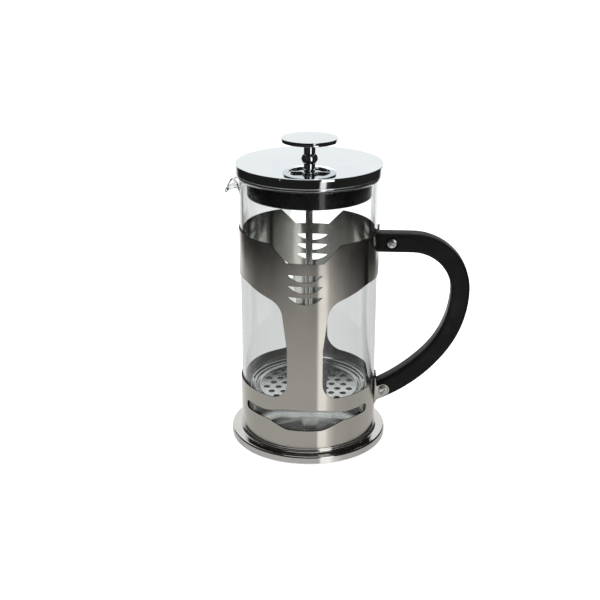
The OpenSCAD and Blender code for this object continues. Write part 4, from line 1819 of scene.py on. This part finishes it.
    def spiral_plate_surface(self) -> Surface:
        """Cuts the filter plate: large holes on a triangular pattern and a ring of small ones near its
        edge.

        Returns:
            The closed surface.
        """
        low, high = span("spiral_plate")
        top = low[2] + self.plate
        edge = high[0]
        count = range(-5, 6)
        spots = [(i + j / 2, j * math.sqrt(3) / 2) for i in count for j in count]
        spots = [(self.hole_pitch * x, self.hole_pitch * y) for x, y in spots]
        large = [(x, y) for x, y in spots if 7.0 < math.hypot(x, y) < self.flat - 6.0]
        turns = np.arange(self.rim_holes) / self.rim_holes * TURN
        ring = self.flat - 1.3
        holes = [circle(0.0, 0.0, self.rod + 0.05, 32)]
        holes += [circle(x, y, self.hole, 24) for x, y in large]
        holes += [circle(ring * math.cos(a), ring * math.sin(a), self.rim_hole, 10) for a in turns]
        lattice = flat_disc_points(4.0, edge, 0.85)
        place = self.dish(top, self.flat + 0.2, edge - 0.3, high[2] - top)
        return Punched(circle(0.0, 0.0, edge, 240), holes, lattice, self.plate, place, 0.07).surface()

    def cross_plate_surface(self) -> Surface:
        """Cuts the lower plate, which has four wide openings.

        Returns:
            The closed surface.
        """
        low, high = span("cross_plate")
        top = low[2] + self.cross
        edge = high[0]
        inner, outer = 11.0, self.flat - 4.0
        holes = [circle(0.0, 0.0, self.rod + 0.05, 32)]
        for quarter in range(4):
            start, end = 90 * quarter + 12, 90 * quarter + 78
            path = np.concatenate([arc(0, 0, outer, start, end, 36), arc(0, 0, inner, end, start, 16)])
            holes.append(path)
        lattice = flat_disc_points(4.0, edge, 1.3)
        place = self.dish(top, self.flat + 0.5, edge - 0.3, high[2] - top)
        return Punched(circle(0.0, 0.0, edge, 200), holes, lattice, self.cross, place, 0.09).surface()

    def screen_surface(self) -> Surface:
        """Turns the woven screen: a thin dish between the two plates, its edge turned up.

        Returns:
            The closed surface.
        """
        low, high = span("mesh_screen")
        top, edge = low[2] + self.mesh, high[0]
        upper = [[self.rod + 0.05, top], [20.0, top], [self.flat, top], [self.flat + 1.4, top + 0.6]]
        upper.append([edge, high[2]])
        lower = [[r, z - self.mesh] for r, z in upper[::-1]]
        return turned(np.array(upper + lower), 200, True)

    def coil_surface(self) -> Surface:
        """Winds the edge spring: a wire wound round a ring.

        The path is a point at distance coil from the ring's centre line that turns many times while it
        goes round once, and the wire's first normal points away from that centre line.

        Returns:
            The closed surface.
        """
        low, high = span("edge_spring")
        ring, level = high[0] - 1.7, (low[2] + high[2]) / 2
        angle = np.linspace(0.0, TURN, self.windings * 14 + 1)
        spin = angle * self.windings
        away = np.stack([np.cos(spin) * np.cos(angle), np.cos(spin) * np.sin(angle), np.sin(spin)], axis=1)
        centre = np.stack([ring * np.cos(angle), ring * np.sin(angle), np.full_like(angle, level)], axis=1)
        return tube(centre + self.coil * away, away, self.wire, 6)

    def collar_surface(self) -> Surface:
        """Turns the collar above the plates, with eased edges and a groove round it.

        Returns:
            The closed surface.
        """
        low, high = span("rod_collar")
        r, middle = high[0], (low[2] + high[2]) / 2
        return turned(rounded([
            (self.rod, low[2], 0.0), (r, low[2], 0.3), (r, middle - 0.5, 0.1), (r - 0.4, middle, 0.2),
            (r, middle + 0.5, 0.1), (r, high[2], 0.4), (self.rod, high[2], 0.2),
        ]), 96, True)

    def build(self) -> None:
        """Makes and dresses the nine pieces."""
        filter_steel, chrome = FILTER_STEEL.material(), CHROME.material()
        low, high = span("hub_nut")
        nut = hex_nut(7.0, high[2] - low[2], self.rod + 0.06)
        nut.points += [0.0, 0.0, low[2]]
        for name, surface, finish, slot, node in (
            ("knob_disc", self.knob_surface(), chrome, "lid_chrome", "knob"),
            ("rod", self.rod_surface(), ROD_STEEL.material(), "rod_steel", "plunger_rod"),
            ("insert", self.insert_surface(), BRASS.material(), "insert_brass", "knob_insert"),
            ("collar", self.collar_surface(), filter_steel, "filter_steel", "rod_collar"),
            ("filter_plate", self.spiral_plate_surface(), filter_steel, "filter_steel", "spiral_plate"),
            ("coil_spring", self.coil_surface(), chrome, "filter_steel", "edge_spring"),
            ("screen", self.screen_surface(), MESH_WIRE.material(), "mesh_steel", "mesh_screen"),
            ("lower_plate", self.cross_plate_surface(), filter_steel, "filter_steel", "cross_plate"),
            ("hub_hex", nut, filter_steel, "filter_steel", "hub_nut"),
        ):
            add_piece(name, write_mesh(name, [surface]), finish, Body.PLUNGER, [node])


# ---------------------------------------------------------------- studio


@dataclass(frozen=True)
class FloorReflectionGlow:
    """Painted reflections: glowing greys on the floor that only show in mirrors and through glass.

    It is laid out by what the frame mirrors. The camera's ray meets the frame at azimuth a (from the front,
    positive to the right) and leaves it at azimuth 2a - turn, falling by slope, so the point mirrored at
    height z lies z / slope further on. Each row holds the brightness at that height for stops of a.
    """

    rows: tuple[tuple[float, tuple[tuple[float, float], ...]], ...]
    radius: float = 0.05
    slope: float = 0.377
    turn: float = 3.0
    lift: float = 0.0004

    def build(self) -> None:
        """Makes the painted reflections, their glow blended between the stops and kept as a colour of each
        point.
        """
        steps = np.linspace(-88.0, 88.0, 353)
        heights = np.array([height for height, _ in self.rows])
        light = np.stack([np.interp(steps, *zip(*stops)) for _, stops in self.rows])
        away, ahead = np.radians(2 * steps - self.turn), np.radians(steps)
        reach = heights[:, None] / self.slope
        x = self.radius * np.sin(ahead) + reach * np.sin(away)
        y = -self.radius * np.cos(ahead) - reach * np.cos(away)
        surface = grid(np.stack([x, y, np.full_like(x, self.lift)], axis=-1) / MM)
        board = NodeBoard("floor_reflection_glow")
        # Painted reflections: the sheet glows with the grey of each point; no lamp lights it.
        glow = board.node("Emission", Strength=1.0)
        board.link(board.node("Attribute", attribute_name="light").outputs["Color"], glow.inputs["Color"])
        board.link(glow.outputs["Emission"], board.output.inputs["Surface"])
        paper = reflect_only("floor_reflection_glow", surface, board.material, False)
        colour = paper.data.color_attributes.new("light", "FLOAT_COLOR", "POINT")
        grey = np.repeat(light.reshape(-1, 1), 4, axis=1)
        colour.data.foreach_set("color", grey.astype(np.float32).reshape(-1))


@dataclass(frozen=True)
class Card:
    """A card or lamp panel of the studio that only shows in mirror reflections and through glass.

    It stands on a circle about the object: azimuth is measured from the front, positive to the right.
    """

    name: str
    azimuth: tuple[float, float]
    distance: float
    height: tuple[float, float]
    light: float

    def build(self) -> None:
        """Makes the card as an upright band of a cylinder, (d sin a, -d cos a, z)."""
        angle = np.radians(np.linspace(*self.azimuth, 25))
        level = np.array(self.height)[:, None]
        x = np.broadcast_to(self.distance * np.sin(angle), (2, 25))
        y = np.broadcast_to(-self.distance * np.cos(angle), (2, 25))
        z = np.broadcast_to(level, (2, 25))
        surface = grid(np.stack([x, y, z], axis=-1) / MM)
        reflect_only(self.name, surface, glowing(self.name, self.light), False)


def glowing(name: str, light: float) -> bpy.types.Material:
    """Makes an evenly lit grey.

    Args:
        name: name of the material.
        light: its brightness; 0 is black.

    Returns:
        The material.
    """
    board = NodeBoard(name)
    glow = board.node("Emission", Strength=light)
    glow.inputs["Color"].default_value = (1.0, 1.0, 1.0, 1.0)
    board.link(glow.outputs["Emission"], board.output.inputs["Surface"])
    return board.material


def reflect_only(name: str, surface: Surface, paper: bpy.types.Material, glass: bool) -> bpy.types.Object:
    """Adds a stage object that shows in mirror reflections and through glass, or only through glass.

    Args:
        name: name of the object.
        surface: its shape.
        paper: its material.
        glass: whether it shows only through glass.

    Returns:
        The object.
    """
    mesh = write_mesh(name, [surface])
    mesh.materials.append(paper)
    card = bpy.data.objects.new(name, mesh)
    bpy.context.scene.collection.objects.link(card)
    card.visible_camera = card.visible_diffuse = card.visible_shadow = False
    card.visible_glossy = not glass
    return card


@dataclass
class Studio:
    """A pale floor, soft lamps, reflecting cards, painted reflections and a painted shadow, and the camera.
    """

    floor_half: float = 9.0
    world: float = 0.92
    camera_place: tuple[float, float, float] = (0.0388, -0.7237, 0.3772)
    camera_tilt: float = 69.35
    camera_heading: float = 0.0624
    camera_roll: float = 0.0017
    camera_lens: float = 63.78
    # Painted reflections: glow of the floor greys by height and azimuth, as the frame mirrors them.
    paper: FloorReflectionGlow = FloorReflectionGlow((
        (0.003, ((-88, 1.6), (-78, 0.9), (-63, 0.6), (-50, 0.52), (10, 0.52), (11.5, 1.2), (17, 1.2),
                 (20, 0.8), (26, 0.52), (40, 0.46), (78, 0.56), (84, 0.9), (88, 1.4))),
        (0.045, ((-88, 1.4), (-78, 0.9), (-63, 0.6), (-50, 0.50), (10, 0.50), (11.5, 1.2), (17, 1.2),
                 (20, 0.8), (26, 0.52), (40, 0.46), (78, 0.56), (84, 0.7), (88, 1.0))),
        (0.090, ((-88, 1.4), (-78, 1.0), (-63, 0.5), (-45, 0.42), (-14, 0.42), (10, 0.42), (11.5, 1.2),
                 (17, 1.2), (20, 0.7), (26, 0.45), (40, 0.30), (60, 0.2), (78, 0.5), (88, 0.9))),
        (0.131, ((-88, 1.5), (-77, 0.8), (-63, 0.55), (-53, 0.34), (-46, 0.16), (-28, 0.18), (-14, 0.26),
                 (0, 0.36), (9, 0.20), (10.5, 0.35), (11.5, 1.3), (17, 1.3), (20, 0.7), (26, 0.5),
                 (34, 0.28), (44, 0.16), (56, 0.03), (62, 0.2), (70, 0.24), (78, 0.6), (88, 0.9))),
        (0.155, ((-88, 1.4), (-77, 1.0), (-68, 0.9), (-60, 0.4), (-50, 0.18), (-42, 0.12), (-28, 0.13),
                 (-18, 0.35), (-5, 0.70), (4, 0.66), (9, 0.6), (11.5, 1.3), (17, 1.3), (20, 0.6), (28, 0.3),
                 (40, 0.08), (60, 0.02), (76, 0.02), (88, 0.1))),
        (0.166, ((-88, 1.3), (-74, 1.2), (-68, 0.6), (-62, 0.02), (9, 0.02), (12, 0.3), (15, 0.3),
                 (18, 0.02), (72, 0.02), (76, 1.0), (88, 1.2))),
        (0.190, ((-88, 1.3), (-74, 1.2), (-68, 0.1), (-62, 0.012), (10, 0.012), (12, 0.25), (15, 0.25),
                 (17, 0.012), (72, 0.02), (76, 1.0), (88, 1.2))),
        (0.205, ((-88, 1.0), (-76, 1.0), (-70, 0.1), (-66, 0.012), (10.5, 0.012), (12, 0.85), (15, 0.85),
                 (16.5, 0.05), (20, 0.012), (72, 0.02), (76, 1.0), (88, 1.2))),
        (1.100, ((-88, 1.0), (-76, 1.0), (-70, 0.1), (-66, 0.012), (10.5, 0.012), (12, 0.85), (15, 0.85),
                 (16.5, 0.05), (20, 0.012), (72, 0.02), (76, 1.0), (88, 1.2))),
    ))
    cards: tuple[Card, ...] = (
        Card("wall_front", (-132.0, 150.0), 1.30, (0.0, 4.0), 0.015),
        Card("strip_thin", (-41.5, -40.7), 1.20, (0.0, 0.9), 0.5),
        Card("strip_right", (21.0, 40.0), 1.20, (0.0, 0.9), 1.6),
    )
    behind_half: float = 0.45
    wall_behind: tuple[float, float] = (0.40, 0.641)
    behind: tuple[float, float] = (0.0, 0.34)
    # Glow of the painted shadow sheet behind the object.
    shadow_sheet_light: float = 0.74
    wall_degrees: tuple[float, float] = (50.0, 130.0)
    wall_distance: float = 1.3
    wall_light: float = 0.03

    def behind_glass(self) -> None:
        """Sets what shows only through glass: a painted shadow as a grey sheet behind, and a dark wall far
        behind.
        """
        # Painted shadow: a glowing grey sheet on the floor behind the object, seen only through the glass.
        x, y = np.meshgrid([-self.behind_half, self.behind_half], self.behind)
        sheet = grid(np.stack([x, y, np.full_like(x, 0.0008)], axis=-1) / MM)
        reflect_only("shadow_grey_behind", sheet, glowing("shadow_grey_behind", self.shadow_sheet_light), True)
        angle = np.radians(np.linspace(*self.wall_degrees, 25))
        height = np.array(self.wall_behind)[:, None]
        away = self.wall_distance
        x, y, z = np.broadcast_arrays(away * np.cos(angle), away * np.sin(angle), height)
        wall = grid(np.stack([x, y, z], axis=-1) / MM)
        reflect_only("behind_dark", wall, glowing("behind_dark", self.wall_light), True)

    def floor(self) -> None:
        """Makes the floor: matt white with a soft glow and a faint tooth, like a sheet of lit paper."""
        half = self.floor_half / MM
        side = np.array([-half, half])
        x, y = np.meshgrid(side, side)
        mesh = write_mesh("floor", [grid(np.stack([x, y, np.zeros_like(x)], axis=-1))])
        board = NodeBoard("floor_paper")
        shader = board.node("BsdfPrincipled")
        shader.inputs["Roughness"].default_value = 0.9
        shader.inputs["Specular IOR Level"].default_value = 0.1
        tooth = board.noise(board.coords(Coords.OBJECT, (1.0, 1.0, 1.0)), 900.0)
        board.link(board.tints(tooth, (0.86, 0.86, 0.86), (0.88, 0.88, 0.88)), shader.inputs["Base Color"])
        board.link(board.bump(tooth, 0.3, 2e-5), shader.inputs["Normal"])
        shader.inputs["Emission Color"].default_value = (1.0, 1.0, 1.0, 1.0)
        shader.inputs["Emission Strength"].default_value = 0.42
        board.link(shader.outputs["BSDF"], board.output.inputs["Surface"])
        mesh.materials.append(board.material)
        floor = bpy.data.objects.new("floor", mesh)
        bpy.context.scene.collection.objects.link(floor)

    @staticmethod
    def lamp(name: str, place: Sequence[float], size: float, power: float) -> None:
        """Adds a square area lamp that faces the object and doesn't show itself.

        Args:
            name: name of the lamp.
            place: where it hangs, in metres.
            size: length of its side in metres.
            power: power in watts.
        """
        data = bpy.data.lights.new(name, "AREA")
        data.shape = "SQUARE"
        data.size = size
        data.energy = power
        lamp = bpy.data.objects.new(name, data)
        lamp.location = place
        lamp.rotation_euler = (Vector((0.0, 0.0, 0.1)) - Vector(place)).to_track_quat("-Z", "Y").to_euler()
        lamp.visible_glossy = False
        lamp.visible_transmission = False
        bpy.context.scene.collection.objects.link(lamp)

    def camera(self) -> None:
        """Sets the camera: it looks down a little from the front right."""
        data = bpy.data.cameras.new("camera")
        data.lens = self.camera_lens
        data.sensor_width = 36.0
        camera = bpy.data.objects.new("camera", data)
        turn = (
            Matrix.Rotation(self.camera_heading, 4, "Z")
            @ Matrix.Rotation(math.radians(self.camera_tilt), 4, "X")
            @ Matrix.Rotation(self.camera_roll, 4, "Z")
        )
        camera.matrix_world = Matrix.Translation(self.camera_place) @ turn
        bpy.context.scene.collection.objects.link(camera)
        bpy.context.scene.camera = camera

    def build(self) -> None:
        """Sets up the whole studio."""
        scene = bpy.context.scene
        scene.view_settings.view_transform = "Standard"
        world = bpy.data.worlds.new("studio")
        world.use_nodes = True
        sky = world.node_tree.nodes["Background"]
        sky.inputs["Color"].default_value = (0.965, 0.99, 1.0, 1.0)
        sky.inputs["Strength"].default_value = self.world
        scene.world = world
        self.camera()
        self.floor()
        self.behind_glass()
        for card in (self.paper, *self.cards):
            card.build()
        self.lamp("key", (-0.9, -1.1, 1.5), 1.2, 16.0)
        self.lamp("fill", (1.3, -0.4, 0.9), 1.0, 7.0)
        self.lamp("back", (0.1, 1.4, 1.4), 1.4, 14.0)


# ---------------------------------------------------------------- assembly


def main() -> None:
    """Builds the studio and every sub-assembly in order."""
    logging.basicConfig(level=logging.INFO, format="%(message)s")
    for part in (Studio(), Base(), FrameSheet(), Handle(), Beaker(), Lid(), Plunger()):
        log.info("building %s", type(part).__name__)
        part.build()


if __name__ == "__main__":
    main()
